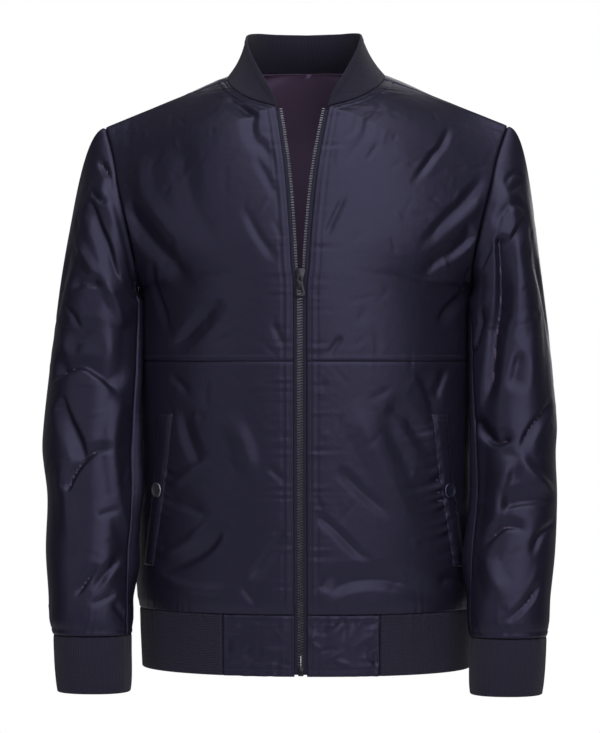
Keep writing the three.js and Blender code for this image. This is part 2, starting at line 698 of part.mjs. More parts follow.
// The pull hangs from the slider's bail and turns on it
const PULL = { thick: 1.3, length: 23, bar: 0.75, eye: 5.4, eyeWide: 3.2, holeRadius: 2.6, holeUp: 5.4 };
function pull() {
  const outline = [
    [3.9, PIVOT_Z - PULL.length],
    [5.4, PIVOT_Z - PULL.length + 1.8],
    [5.5, PIVOT_Z - PULL.length + 5],
    [4.2, PIVOT_Z - PULL.length + 10],
    [3, PIVOT_Z - PULL.eye],
    [3, PIVOT_Z + 0.9],
  ];
  const body = plate(outline, PULL.thick, PIVOT_Y - PULL.thick / 2);
  const eyeTall = PULL.eye - PULL.bar;
  const eye = boxOf(PULL.eyeWide, 4, eyeTall, 0, PIVOT_Y, PIVOT_Z - PULL.bar - eyeTall / 2);
  const hole = new THREE.CylinderGeometry(PULL.holeRadius, PULL.holeRadius, 4, 20);
  hole.translate(0, PIVOT_Y, PIVOT_Z - PULL.length + PULL.holeUp);
  return fromSolid(solid(body).subtract(solid(eye)).subtract(solid(hole)));
}

// The block that holds the two chains together at the hem, between the tapes
const ZIP_BOX = { wide: 5.8, deep: 4.4, tall: 9.5 };
const zipBox = () =>
  boxOf(ZIP_BOX.wide, ZIP_BOX.deep, ZIP_BOX.tall, 0, -111.2 + CHAIN_DEPTH, HEM_Z + 0.8 + ZIP_BOX.tall / 2);

// The welt of a hand pocket follows the lower front, a little in front of it
const WELT_STEPS = spread(10.2, 38, 12);
const WELT_LOW = [0.66, 0.755]; // its two long edges across the panel at the lower end
const WELT_HIGH = [0.53, 0.635];
const SNAP_ROW = 7; // the row of the welt that the snap sits on
const SNAP_RADIUS = 8.6;
const ON_FRONT = 2 * LAYER_GAP;

function weltGrid(side) {
  const lerp = THREE.MathUtils.lerp;
  const place = (share, step) => {
    const up = (step - WELT_STEPS[0]) / (WELT_STEPS[12] - WELT_STEPS[0]);
    const [inner, outer] = [0, 1].map((i) => lerp(WELT_LOW[i], WELT_HIGH[i], up));
    return frontPlace(lerp(inner, outer, share), step);
  };
  const grid = gridOf(WELT_STEPS, spread(0, 1, 3), side, place, facing(place, 0.05, 0.4, 1));
  return relief(grid, (p) => foldDepth(FRONT_FOLDS, side, (v) => v, p.z, Math.abs(p.x)));
}

function snap(side) {
  const around = weltGrid(side)[SNAP_ROW].slice(1, 3);
  const middle = around.reduce((sum, cell) => sum.add(cell.spot), new THREE.Vector3()).divideScalar(2);
  const out = around.reduce((sum, cell) => sum.add(cell.out), new THREE.Vector3()).normalize();
  const profile = [
    [0, 0],
    [SNAP_RADIUS, 0],
    [SNAP_RADIUS, 0.8],
    [SNAP_RADIUS - 0.8, 1.7],
    [SNAP_RADIUS - 1.6, 1.9],
    [0, 1.7],
  ].map(([radius, y]) => new THREE.Vector2(radius, y));
  const turn = new THREE.Quaternion().setFromUnitVectors(new THREE.Vector3(0, 1, 0), out);
  middle.addScaledVector(out, ON_FRONT + WELT + LAYER_GAP);
  return new THREE.LatheGeometry(profile, 16).applyQuaternion(turn).translate(...middle);
}

// The back lining hangs a little inside the back, and meets it at the neck
const LINING_SLACK = 9;
function liningBack() {
  const steps = [...spread(1.5, 66, 7), 72, 76.5, BACK_NECK_STEP, 87, 97];
  const columns = spread(0, 0.88, 8);
  const half = (side) => {
    const grid = gridOf(steps, columns, side, backPlace, backSeamOut(side));
    return relief(grid, (p, c, r) => {
      const fromNeck = Math.max(0, BACK_NECK_STEP - steps[r]) / 14 + 1.5 * columns[c];
      return -LINING_SLACK * Math.min(1, fromNeck) * Math.min(1, 0.25 + r / 2);
    });
  };
  return wall([1, -1].map(half), LINING, -SHELL - 2 * LAYER_GAP);
}

// Finishes
const finish = (color, roughness, metalness = 0) => new THREE.MeshStandardMaterial({ color, roughness, metalness });
const NYLON = 0x1f1f33;
const RIB_KNIT = 0x20202e;

const jacket = new THREE.Group();
function add(name, geometry, material) {
  const mesh = new THREE.Mesh(geometry, material);
  mesh.name = name;
  jacket.add(mesh);
}

for (const [side, hand] of [
  [1, "left"],
  [-1, "right"],
]) {
  const front = frontGrid(side, BODY_STEPS, FRONT_ACROSS);
  const lower = trim(copyOf(front, [0, LOWER_ROWS], [0, FRONT_COLUMNS]), ["low", "high", "end"]);
  const upper = trim(copyOf(front, [LOWER_ROWS, TOP_ROW], [0, FRONT_COLUMNS]), ["low", "high", "end"]);
  add(`front_${hand}_lower`, wall([lower], SHELL), finish(NYLON, 0.42));
  add(`front_${hand}_upper`, wall([upper], SHELL), finish(NYLON, 0.42));

  const sleeve = sleeveGrid(side);
  const all = ["low", "high", "start", "end"];
  const outside = copyOf(sleeve, [0, SLEEVE_ROWS], [BODY_SEAM, ELBOW_SEAM]);
  const rest = [
    copyOf(sleeve, [0, SLEEVE_ROWS], [ELBOW_SEAM, ARM_ROWS * 2]),
    copyOf(sleeve, [0, SLEEVE_ROWS], [1, BODY_SEAM]),
  ];
  const inside = rest[0].map((row, r) => [...row, ...rest[1][r]]);
  add(`sleeve_${hand}_top`, wall([trim(outside, all)], SHELL), finish(NYLON, 0.42));
  add(`sleeve_${hand}_under`, wall([trim(inside, all)], SHELL), finish(NYLON, 0.42));

  add(`cuff_${hand}`, tube(4, CUFF, 26, side, RIB), finish(RIB_KNIT, 0.9));
  add(`hem_front_${hand}`, hemFront(side), finish(NYLON, 0.42));
  add(`zip_tape_${hand}`, zipTape(side), finish(0x1b1b28, 0.85));
  add(`zip_teeth_${hand}`, zipTeeth(side), finish(0x2a2a33, 0.4));
  add(`pocket_welt_${hand}`, wall([weltGrid(side)], WELT, ON_FRONT + WELT), finish(NYLON, 0.42));
  add(`snap_${hand}`, snap(side), finish(0x55565e, 0.35, 0.8));
}

const backHalves = [1, -1].map((side) => trim(backGrid(side), ["low", "high", "end"]));
add("back", wall(backHalves, SHELL), finish(NYLON, 0.42));
add("lining_back", liningBack(), finish(0x2a1c26, 0.7));
add("collar", collar(), finish(RIB_KNIT, 0.9));
add("hem_rib", hemRib(), finish(RIB_KNIT, 0.9));
add("zip_slider", slider(), finish(0x17171d, 0.32, 0.85));
add("zip_pull", pull(), finish(0x17171d, 0.32, 0.85));
add("zip_box", zipBox(), finish(0x17171d, 0.32, 0.85));

export default jacket;
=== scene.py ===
"""Looks of a zip-front bomber jacket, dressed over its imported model.

Meshes are in metres. The shape tables and sizes are in millimetres, like the part's source. +Z is up, the
front faces -Y and +X is the wearer's left. The jacket is filled out as if worn, with nobody in it.
"""

import logging
import math
from collections.abc import Callable
from dataclasses import dataclass
from enum import Enum

import bmesh
import bpy
import numpy as np
from bpy.types import Material, NodeSocket, Object
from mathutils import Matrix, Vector


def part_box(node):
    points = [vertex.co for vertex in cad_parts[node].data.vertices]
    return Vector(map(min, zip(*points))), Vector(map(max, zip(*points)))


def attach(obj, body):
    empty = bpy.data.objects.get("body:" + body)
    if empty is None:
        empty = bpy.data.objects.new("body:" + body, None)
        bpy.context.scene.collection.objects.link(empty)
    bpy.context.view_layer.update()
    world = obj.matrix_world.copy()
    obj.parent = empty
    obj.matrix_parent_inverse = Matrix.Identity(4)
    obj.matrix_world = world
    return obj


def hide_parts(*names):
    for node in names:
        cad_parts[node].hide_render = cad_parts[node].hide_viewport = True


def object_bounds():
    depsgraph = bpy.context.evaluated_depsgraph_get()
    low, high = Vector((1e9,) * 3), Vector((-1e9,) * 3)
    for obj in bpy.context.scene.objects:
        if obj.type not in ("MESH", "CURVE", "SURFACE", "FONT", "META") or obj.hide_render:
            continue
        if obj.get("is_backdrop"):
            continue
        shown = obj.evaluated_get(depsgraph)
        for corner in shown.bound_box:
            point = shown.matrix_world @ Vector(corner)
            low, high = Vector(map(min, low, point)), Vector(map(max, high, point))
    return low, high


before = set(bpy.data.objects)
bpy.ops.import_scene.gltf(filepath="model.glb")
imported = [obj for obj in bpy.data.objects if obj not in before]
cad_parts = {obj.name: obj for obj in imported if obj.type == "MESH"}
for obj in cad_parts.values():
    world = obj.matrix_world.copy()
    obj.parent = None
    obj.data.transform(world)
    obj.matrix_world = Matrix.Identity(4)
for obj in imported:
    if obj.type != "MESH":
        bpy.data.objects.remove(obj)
CAD_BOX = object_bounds()

LOG = logging.getLogger("jacket")
MM = 0.001
SEED = 7

# A grid of numbers, and places along a line with their outward directions
Array = np.ndarray
Line = tuple[Array, Array]

# Driving dimensions, as in the part's source
SHELL = 1.6
RIB = 2.6
LINING = 1.0
TAPE = 0.9
WELT = 1.5
SEAM_GAP = 0.5
SEAM_ALLOWANCE = 2.6
LAYER_GAP = 0.35
HEM_Z = -677.0
BAND_TOP_Z = -609.0
YOKE_Z = -327.0
CUFF_TOP_Z = -634.0
CUFF_END_Z = -697.0
HEM_FRONT_X = 88.0
WELT_STEPS = (10.2, 38.0)
WELT_LOW = (0.66, 0.755)
WELT_HIGH = (0.53, 0.635)
YOKE_STEP = 45.0
ARM_STEP = 58.0
FRONT_NECK_STEP = 85.0
BACK_NECK_STEP = 79.0
SHOULDER_STEP = 100.0
BAND_STEP = -10.0
ZIP_TOP_STEP = 84.4
SHOULDER_AT_NECK = 0.62
CAP_SHARE = 0.36
SQUARENESS = 2.25
BODY_SEAM_ANGLE = 360 * 2 / 28
ELBOW_SEAM_ANGLE = 360 * 17 / 28
CHAIN_DEPTH = SHELL + LAYER_GAP + TAPE / 2
SLIDER_Z = -231.5

# How far a stitch stands above the cloth
STITCH_LIFT = 0.12

# The colour of the gloss on the dyed cloth and knit
COOL_TINT = (0.62, 0.58, 1.0)

# How fine the cloth is
CLOTH_STEP = 2.3
BACK_STEP = 2.8
RIB_STEP = 2.4


@dataclass(frozen=True)
class Table:
    """Rows of named columns, the first of them the key. It is read between rows with a smooth curve."""

    columns: str
    rows: tuple[tuple[float, ...], ...]

    def at(self, values: Array | float) -> Array:
        """Reads every column but the key.

        Args:
            values: places along the key.

        Returns:
            The columns at those places, in a last axis of their own.
        """
        rows = np.array(self.rows, float)
        key = rows[:, 0]
        last = len(rows) - 1
        values = np.asarray(values, float)
        low = np.clip(np.searchsorted(key, values, side="right") - 1, 0, last - 1)
        before = np.maximum(np.arange(last + 1) - 1, 0)
        after = np.minimum(np.arange(last + 1) + 1, last)
        slope = (rows[after] - rows[before]) / (key[after] - key[before])[:, None]
        step = (key[low + 1] - key[low])[..., None]
        t = np.clip((values[..., None] - key[low][..., None]) / step, 0, 1)
        found = rows[low] * (1 + 2 * t) * (1 - t) ** 2 + rows[low + 1] * t**2 * (3 - 2 * t)
        found = found + slope[low] * step * t * (1 - t) ** 2 + slope[low + 1] * step * t**2 * (t - 1)
        return found[..., 1:]


# The front edge beside the zip, from the hem to the neck
FRONT_EDGE = Table("step x y z", (
    (-10, 7, -111, HEM_Z), (-4, 7, -111.8, -636), (0, 7, -112.5, BAND_TOP_Z), (3, 7, -117, -596),
    (8, 7, -118.5, -570), (30, 7, -122, -450), (45, 7, -125.2, -327), (53, 7, -125.3, -264),
    (56, 7.5, -125, -238), (58, 9.3, -124.6, -224), (66, 12, -120, -180), (74, 17.3, -108, -120),
    (80, 23.5, -93, -76), (85, 29.5, -78, -41),
))
CENTRE_BACK = Table("step x y z", (
    (-10, 0, 110, HEM_Z), (-4, 0, 111.5, -636), (0, 0, 112.5, BAND_TOP_Z), (3, 0, 117, -596),
    (8, 0, 118.5, -570), (30, 0, 121, -450), (45, 0, 128, -327), (58, 0, 133, -225),
    (66, 0, 131, -150), (74, 0, 117, -66), (76.5, 0, 102, -28), (79, 0, 80, 13),
))
SIDE_SEAM = Table("step x y z", (
    (-10, 189, 3, HEM_Z), (-4, 191, 3, -636), (0, 192, 3, BAND_TOP_Z), (3, 194.5, 3, -596),
    (8, 196, 3, -570), (30, 192, 3, -450), (45, 190.5, 3, -327), (53, 190.5, 3, -280),
    (58, 193.5, 4, -246),
))
FRONT_ARMHOLE = Table("step x y z", (
    (58, 193.5, 4, -246), (62, 190.5, -26, -240), (67, 191, -51, -218), (75, 200, -60, -174),
    (84, 211, -50, -130), (92, 219, -31, -94), (100, 231, -8, -57.5),
))
BACK_ARMHOLE = Table("step x y z", (
    (58, 193.5, 4, -246), (62, 194, 33, -240), (68, 199, 57, -210), (76, 207, 66, -165),
    (84, 215, 58, -124), (91, 222, 38, -92), (96, 227, 16, -69), (100, 231, -8, -57.5),
))
# The seam where the collar is sewn on, from the centre back to the top of the zip, and the collar's edge
NECKLINE = Table("share x y z", (
    (0, 0, 80, 13), (0.2, 43, 71, 13), (0.4, 75, 46, 10), (0.54, 89, 13, 3.5), (0.62, 89.5, -8, -4),
    (0.75, 80, -37, -16.5), (0.88, 60, -60, -30), (1, 29.5, -78, -41),
))
COLLAR_TOP = Table("share x y z", (
    (0, 0, 65, 56), (0.2, 37, 57, 56), (0.4, 57, 37, 55), (0.54, 65.5, 9, 50.5), (0.64, 66.5, -14, 43),
    (0.72, 63.5, -31, 31), (0.79, 56.5, -45, 15), (0.88, 46, -60, -5), (0.94, 39, -69, -18),
    (1, 30, -76.5, -35.5),
))
# How each row of a panel leaves its inner edge and reaches its outer edge
FRONT_REACH = Table("step ix iy iz ox oy oz", (
    (0, 104, 0, 0, 0, -66, 0), (30, 107, 0, 0, 0, -72, 0), (45, 108, 0, 0, 0, -75, 0),
    (58, 102, 0, -6, -1, -62, 0), (62, 100, 0, -9, -8, -46, 3), (67, 94, -1, -12, -26, -38, 8),
    (75, 84, -4, -18, -44, -32, 13), (84, 62, -16, -20, -52, -22, 18), (92, 50, -13, -20, -48, -12, 20),
    (100, 44, 2, -14, -46, 0, 19),
))
BACK_REACH = Table("step ix iy iz ox oy oz", (
    (0, 104, 0, 0, 0, 66, 0), (30, 106, 0, 0, 0, 70, 0), (45, 108, 0, 0, 0, 74, 0),
    (58, 106, 0, 0, 0, 70, 0), (62, 103, 0, 0, -7, 54, 2), (68, 98, 0, 0, -30, 42, 8),
    (76, 86, 0, 0, -48, 32, 14), (80, 72, 4, -2, -54, 26, 17), (88, 62, 16, -12, -52, 20, 19),
    (95, 50, 12, -15, -48, 8, 21), (100, 44, 2, -14, -46, 0, 19),
))
# Rings of the sleeves and cuffs, level with the floor. The right arm stands out by apart and the left one in.
SLEEVE = Table("z x y wide deep apart fuller", (
    (CUFF_TOP_Z + SEAM_GAP, 233.4, -75, 43.6, 39.4, 3.4, 0.6), (-627, 233.8, -73.8, 44.6, 40.8, 3.8, 0.6),
    (-616, 234.2, -71.2, 46.5, 45.2, 4.4, 0.5), (-590, 235.4, -66, 47, 49, 4.4, 0.4),
    (-540, 239.4, -56, 48, 52, 3.9, 0.4), (-480, 241.5, -44, 47.2, 56, 1.2, 1.7),
    (-430, 243.3, -34, 48.4, 60, 3.6, 3.4), (-400, 243.1, -28, 49.2, 61.5, 3, 3),
    (-340, 239.5, -18, 48, 64, 2.8, 2.8), (-292, 237.2, -9, 46.2, 65, 2.8, 2.8),
))
CUFF = Table("z x y wide deep apart fuller", (
    (CUFF_END_Z, 230.6, -84, 40.6, 35.5, 3.2, 0.4), (-686, 231, -82.6, 41.6, 37, 3.2, 0.4),
    (-655, 232.6, -78.5, 42.4, 38.4, 3.3, 0.5), (CUFF_TOP_Z, 233.4, -75, 43.3, 39, 3.4, 0.6),
))
# How the sleeve cap leaves the armhole (a) and reaches the first ring (b), by angle round the arm
CAP = Table("angle ax ay az bx by bz", (
    (0, 2, -2, -12, -1, 1, 16), (45, 11, -9, -14, -2, 6, 26), (90, 25, -11, -22, -3, 9, 58),
    (135, 27, -6, -12, -8, 8, 108), (180, 24, 0, -3, -20, 0, 148), (225, 27, 6, -12, -8, -8, 108),
    (270, 25, 11, -22, -3, -9, 58), (315, 11, 9, -14, -2, -6, 26), (360, 2, -2, -12, -1, 1, 16),
))


def unit(vectors: Array) -> Array:
    """Each vector of the last axis, made one long."""
    return vectors / np.maximum(np.linalg.norm(vectors, axis=-1, keepdims=True), 1e-9)


def ramp(values: Array | float, reach: float) -> Array:
    """A smooth rise from 0 to 1 as values go from 0 to reach."""
    t = np.clip(np.asarray(values, float) / reach, 0, 1)
    return t * t * (3 - 2 * t)


def bump(values: Array, middle: float, width: float) -> Array:
    """A smooth rise to 1 at middle and back, about twice width wide."""
    return np.exp(-(((values - middle) / width) ** 2))


def bezier(a: Array, b: Array, c: Array, d: Array, t: Array) -> Array:
    """Places on cubic curves from a to d, with the handles b and c, at shares t."""
    t = np.asarray(t, float)[..., None]
    return a * (1 - t) ** 3 + 3 * b * t * (1 - t) ** 2 + 3 * c * t**2 * (1 - t) + d * t**3


def front_place(across: Array, step: Array) -> Array:
    """Places on the left front: across is 0 at the zip and 1 at the side, step as in the tables.

    Args:
        across: 0 at the zip to 1 at the side.
        step: the height, as in the tables.

    Returns:
        The places, in millimetres.
    """
    across, step = np.broadcast_arrays(np.asarray(across, float), np.asarray(step, float))
    share = (step - FRONT_NECK_STEP) / (SHOULDER_STEP - FRONT_NECK_STEP)
    neck = NECKLINE.at(1 + (SHOULDER_AT_NECK - 1) * share)
    inner = np.where((step <= FRONT_NECK_STEP)[..., None], FRONT_EDGE.at(step), neck)
    outer = np.where((step <= ARM_STEP)[..., None], SIDE_SEAM.at(step), FRONT_ARMHOLE.at(step))
    reach = FRONT_REACH.at(step)
    return bezier(inner, inner + reach[..., :3], outer + reach[..., 3:], outer, across)


def back_place(across: Array, step: Array) -> Array:
    """Places on the left half of the back: across is 0 at its middle and 1 at the side.

    Args:
        across: 0 at the middle to 1 at the side.
        step: the height, as in the tables.

    Returns:
        The places, in millimetres.
    """
    across, step = np.broadcast_arrays(np.asarray(across, float), np.asarray(step, float))
    share = (step - BACK_NECK_STEP) / (SHOULDER_STEP - BACK_NECK_STEP)
    neck = NECKLINE.at(SHOULDER_AT_NECK * share)
    inner = np.where((step <= BACK_NECK_STEP)[..., None], CENTRE_BACK.at(step), neck)
    outer = np.where((step <= ARM_STEP)[..., None], SIDE_SEAM.at(step), BACK_ARMHOLE.at(step))
    reach = BACK_REACH.at(step)
    return bezier(inner, inner + reach[..., :3], outer + reach[..., 3:], outer, across)


def on_ring(rings: Table, side: int, z: Array, angle: Array) -> Array:
    """Places on a sleeve or cuff: 0 degrees faces the body, 90 the front and 180 away from the body.

    Args:
        rings: the table of its rings.
        side: 1 on the wearer's left, -1 on the right.
        z: the heights.
        angle: the angles round it, in degrees.

    Returns:
        The places, in millimetres.
    """
    ring = rings.at(z)
    x = ring[..., 0] - side * ring[..., 4]
    wide = ring[..., 2] - side * ring[..., 5]
    c, s = np.cos(np.radians(angle)), np.sin(np.radians(angle))
    size = (np.abs(c) ** SQUARENESS + np.abs(s) ** SQUARENESS) ** (-1 / SQUARENESS)
    return np.stack([x - wide * c * size, ring[..., 1] - ring[..., 3] * s * size, z + 0 * x], -1)


def sleeve_place(side: int, angle: Array, down: Array) -> Array:
    """Places on a sleeve, before it is mirrored: down runs 0 to 1 from the armhole to the cuff seam.

    Args:
        side: 1 on the wearer's left, -1 on the right.
        angle: the angles round it, in degrees.
        down: 0 at the armhole to 1 at the cuff seam.

    Returns:
        The places, in millimetres.
    """
    angle, down = np.broadcast_arrays(np.asarray(angle, float), np.asarray(down, float))
    low, top = SLEEVE.rows[0][0], SLEEVE.rows[-1][0]
    below = np.clip((down - CAP_SHARE) / (1 - CAP_SHARE), 0, 1)
    arm = on_ring(SLEEVE, side, top + (low - top) * below, angle)
    turn = angle % 360
    rise = np.where(turn <= 180, turn, 360 - turn)
    step = ARM_STEP + (SHOULDER_STEP - ARM_STEP) * rise / 180
    start = np.where((turn <= 180)[..., None], FRONT_ARMHOLE.at(step), BACK_ARMHOLE.at(step))
    way = CAP.at(turn)
    end = on_ring(SLEEVE, side, np.full_like(angle, top), angle)
    cap = bezier(start, start + way[..., :3], end + way[..., 3:], end, np.clip(down / CAP_SHARE, 0, 1))
    return np.where((down >= CAP_SHARE)[..., None], arm, cap)


def collar_place(side: int, share: Array, up: Array) -> Array:
    """Places on half of the collar, before it is mirrored: share runs from centre back to the zip.

    Args:
        side: 1 on the wearer's left, -1 on the right.
        share: 0 at the centre of the back to 1 at the zip.
        up: 0 at the seam to 1 at the folded top.

    Returns:
        The places, in millimetres.
    """
    share, up = np.broadcast_arrays(np.asarray(share, float), np.asarray(up, float))
    lift, hollow, lean = 1.0, 8.0, -2.5
    base, top = NECKLINE.at(share), COLLAR_TOP.at(share)
    front_z = COLLAR_TOP.rows[-1][3]
    tall = COLLAR_TOP.rows[0][3] - front_z
    top[..., 0] += side * lean * (top[..., 2] - front_z) / tall
    base[..., 2] += lift
    inward = unit(np.stack([-base[..., 0], -base[..., 1], 0 * base[..., 0]], -1))
    middle = base + (top - base) * 0.42 + inward * (hollow * (1 - share**6))[..., None]
    up = up[..., None]
    return base * (1 - up) ** 2 + middle * 2 * up * (1 - up) + top * up**2


@dataclass(frozen=True)
class Viewpoint:
    """Where the photograph was taken from, in millimetres, and how it is framed."""

    distance: float = 3000.0
    azimuth: float = 3.0
    level: float = -333.0
    lens: float = 128.1
    sensor: float = 36.0
    wide: int = 600
    tall: int = 733
    axis_x: float = 306.0

    def spot(self) -> Array:
        """The camera's place."""
        turn = math.radians(self.azimuth)
        return np.array([math.sin(turn) * self.distance, -math.cos(turn) * self.distance, self.level])

    def seen(self, spots: Array) -> Array:
        """Where places show in the frame, in its pixels, right and down from its top left corner.

        Args:
            spots: the places.

        Returns:
            How far right and down each shows.
        """
        turn = math.radians(self.azimuth)
        right = spots[..., 0] * math.cos(turn) + spots[..., 1] * math.sin(turn)
        away = self.distance - spots[..., 0] * math.sin(turn) + spots[..., 1] * math.cos(turn)
        scale = self.lens / self.sensor * self.tall / away
        down = self.tall / 2 - (spots[..., 2] - self.level) * scale
        return np.stack([self.axis_x + right * scale, down], -1)


PHOTO = Viewpoint()


class Side(Enum):
    """The side that a fold's path is drawn from."""

    FRONT = "front"  # in the photograph's pixels
    BACK = "back"  # x and z in millimetres
    OUTER = "outer"  # y and z, on the side away from the body
    INNER = "inner"  # y and z, on the side that faces the body


def wall(off: Array) -> Array:
    """Flat slopes from 1 in the middle down to 0 at 1 either way, with soft corners."""
    top = 1.08 - np.sqrt(off**2 + 0.008)
    return (top + np.sqrt(top**2 + 0.012)) / 2


class Crease(Enum):
    """Which way a fold goes."""

    VALLEY = -1
    RIDGE = 1


@dataclass(frozen=True)
class Fold:
    """One fold with two flat sides: its path, the widths of its sides and its depth, in millimetres.

    The sides are the left and the right of its run, for someone who walks it on the outer face.
    """

    path: tuple[tuple[float, float], ...]
    sides: tuple[float, float]
    depth: float
    crease: Crease = Crease.VALLEY
    side: Side = Side.FRONT
    ends: tuple[float, float] = (0.3, 0.4)
    fan: float = 1.0

    def shape(self, off: Array, along: Array) -> Array:
        """How far it moves the cloth out.

        Args:
            off: how far a place lies to the left of its run.
            along: how far along the run, from 0 to 1.

        Returns:
            The move, in millimetres.
        """
        width = np.where(off > 0, self.sides[0], self.sides[1]) * (1 + (self.fan - 1) * along)
        fade = ramp(along, self.ends[0]) * ramp(1 - along, self.ends[1])
        return self.crease.value * self.depth * fade * wall(off / width)


@dataclass
class Cloth:
    """A fine grid of places on the outer face of one stretch of cloth, in millimetres.

    Rows run up the cloth and columns across it. On a closed cloth the last column is followed by the first.
    hand is 1 where across, then up, turns outwards, and -1 where it turns inwards. parting is the row and the
    column after which two halves part.
    """

    row_keys: Array
    column_keys: Array
    spots: Array
    hand: int
    closed: bool = False
    parting: tuple[int, int] | None = None

    def __post_init__(self) -> None:
        """Measures the smooth form, before anything is pressed into it."""
        self.form = self.spots.copy()
        self.outs = self.outward()
        self.form_outs = self.outs
        steps = np.linalg.norm(np.diff(self.form, axis=1), axis=-1)
        rises = np.linalg.norm(np.diff(self.form, axis=0), axis=-1)
        self.across = np.concatenate([np.zeros((len(steps), 1)), np.cumsum(steps, 1)], 1)
        self.along = np.concatenate([np.zeros((1, rises.shape[1])), np.cumsum(rises, 0)], 0)

    def outward(self) -> Array:
        """The outward direction at every place.

        Returns:
            One direction for each place.
        """
        if self.closed:
            sideways = np.roll(self.spots, -1, 1) - np.roll(self.spots, 1, 1)
        else:
            sideways = np.gradient(self.spots, axis=1)
        outs = unit(np.cross(sideways, np.gradient(self.spots, axis=0))) * self.hand
        if self.parting:
            row, column = self.parting
            outs[row, column - 4 : column + 6] = outs[row - 1, column - 4 : column + 6]
            outs[row + 1 :, column - 4 : column + 1] = outs[row + 1 :, [column - 5]]
            outs[row + 1 :, column + 1 : column + 6] = outs[row + 1 :, [column + 6]]
        return outs

    def press(self, depth: Array) -> None:
        """Moves the cloth out by depth, or in where it is negative."""
        self.spots = self.spots + self.outs * depth[..., None]
        self.outs = self.outward()

    def pick(self, values: Array, rows: Array, columns: Array) -> Array:
        """Reads values between places, at rows and columns counted in the grid.

        Args:
            values: one value or direction for every place.
            rows: the rows to read at.
            columns: the columns, which can lie past a closed cloth's end.

        Returns:
            The values there.
        """
        last, end = values.shape[0] - 1, values.shape[1] - 1
        rows = np.clip(rows, 0, last - 1e-6)
        columns = columns % (end + 1) if self.closed else np.clip(columns, 0, end - 1e-6)
        r, c = rows.astype(int), columns.astype(int)
        after = (c + 1) % (end + 1)
        s, t = (rows - r)[..., None], (columns - c)[..., None]
        low = values[r, c] * (1 - t) + values[r, after] * t
        return low * (1 - s) + (values[r + 1, c] * (1 - t) + values[r + 1, after] * t) * s

    def at_keys(self, column: Array, row: Array) -> Line:
        """Places and outward directions at the cloth's own keys, as they are now.

        Args:
            column: the column keys.
            row: the row keys.

        Returns:
            The places and their outward directions.
        """
        rows = np.interp(row, self.row_keys, np.arange(len(self.row_keys)))
        columns = np.interp(column, self.column_keys, np.arange(len(self.column_keys)))
        return self.pick(self.spots, rows, columns), unit(self.pick(self.outs, rows, columns))

    def trace(self, fold: Fold) -> Array:
        """A fold's path as a smooth line of places on the cloth.

        Args:
            fold: the fold.

        Returns:
            The places, in millimetres.
        """
        turn = math.radians(PHOTO.azimuth)
        sign = 1 if self.form[..., 0].mean() > 0 else -1
        views = {
            Side.FRONT: (PHOTO.seen(self.form), (math.sin(turn), -math.cos(turn), 0)),
            Side.BACK: (self.form[..., (0, 2)], (0, 1, 0)),
            Side.OUTER: (self.form[..., 1:], (sign, 0, 0)),
            Side.INNER: (self.form[..., 1:], (-sign, 0, 0)),
        }
        seen, towards = views[fold.side]
        hidden = np.where(self.form_outs @ np.array(towards) > 0.02, 0, 1e6)
        found = []
        for point in fold.path:
            far = np.linalg.norm(seen - np.array(point), axis=-1) + hidden
            found.append(np.unravel_index(np.argmin(far), far.shape))
        knots = np.array(found, float)
        if self.closed:
            count = self.form.shape[1]
            for i in range(1, len(knots)):
                knots[i, 1] += count * round((knots[i - 1, 1] - knots[i, 1]) / count)
        keys = np.arange(len(knots))
        way = Table("key row column", tuple((k, *knot) for k, knot in zip(keys, knots)))
        places = way.at(np.linspace(0, keys[-1], 6 * len(knots)))
        return self.pick(self.form, places[:, 0], places[:, 1])

    def depth_of(self, line: Array, fold: Fold, rows: Array, columns: Array) -> Array:
        """How far one fold moves the places in a window of the grid.

        Args:
            line: the fold's path, as places on the cloth.
            fold: its width, depth and shape.
            rows: the window's rows.
            columns: the window's columns.

        Returns:
            The move outwards, in millimetres, for each row and column of the window.
        """
        window = np.ix_(rows, columns)
        spots, outs = self.form[window], self.form_outs[window]
        shape = spots.shape[:2]
        spots, outs = spots.reshape(-1, 3), outs.reshape(-1, 3)
        starts, runs = line[:-1], np.diff(line, axis=0)
        lengths = np.maximum((runs**2).sum(-1), 1e-9)
        best = np.full(len(spots), np.inf)
        along, sideways = np.zeros(len(spots)), np.zeros(len(spots))
        for i, (start, run, length) in enumerate(zip(starts, runs, lengths)):
            away = spots - start
            t = np.clip(away @ run / length, 0, 1)
            away = away - t[:, None] * run
            far = (away**2).sum(-1)
            nearer = far < best
            best[nearer] = far[nearer]
            along[nearer] = (i + t[nearer]) / len(runs)
            left = (np.cross(outs[nearer], run / math.sqrt(length)) * away[nearer]).sum(-1)
            sideways[nearer] = np.where(left < 0, -1, 1)
        return fold.shape(sideways * np.sqrt(best), along).reshape(shape)

    def above(self, rows: Array, columns: Array, height: float = STITCH_LIFT) -> Line:
        """Places a hair above the cloth.

        Args:
            rows: their rows, counted in the grid.
            columns: their columns.
            height: how far above, in millimetres.

        Returns:
            The places and their outward directions.
        """
        outs = unit(self.pick(self.outs, rows, columns))
        return self.pick(self.spots, rows, columns) + outs * height, outs

    def rows_from(self, row: int, columns: Array, distance: float) -> Array:
        """Rows that lie at a distance above a row, measured up the cloth.

        Args:
            row: the row to measure from.
            columns: whole columns, counted in the grid.
            distance: how far above it, in millimetres, and minus is below.

        Returns:
            The row in each column.
        """
        counted, along = np.arange(len(self.along)), self.along
        return np.array([np.interp(along[row, c] + distance, along[:, c], counted) for c in columns])

    def folded(self, folds: tuple[Fold, ...]) -> Array:
        """The depth of the given folds together, at every place.

        Args:
            folds: the folds.

        Returns:
            The depth, in millimetres.
        """
        depth = np.zeros(self.form.shape[:2])
        everywhere = np.arange(depth.shape[0]), np.arange(depth.shape[1])
        for fold in folds:
            depth += self.depth_of(self.trace(fold), fold, *everywhere)
        return depth

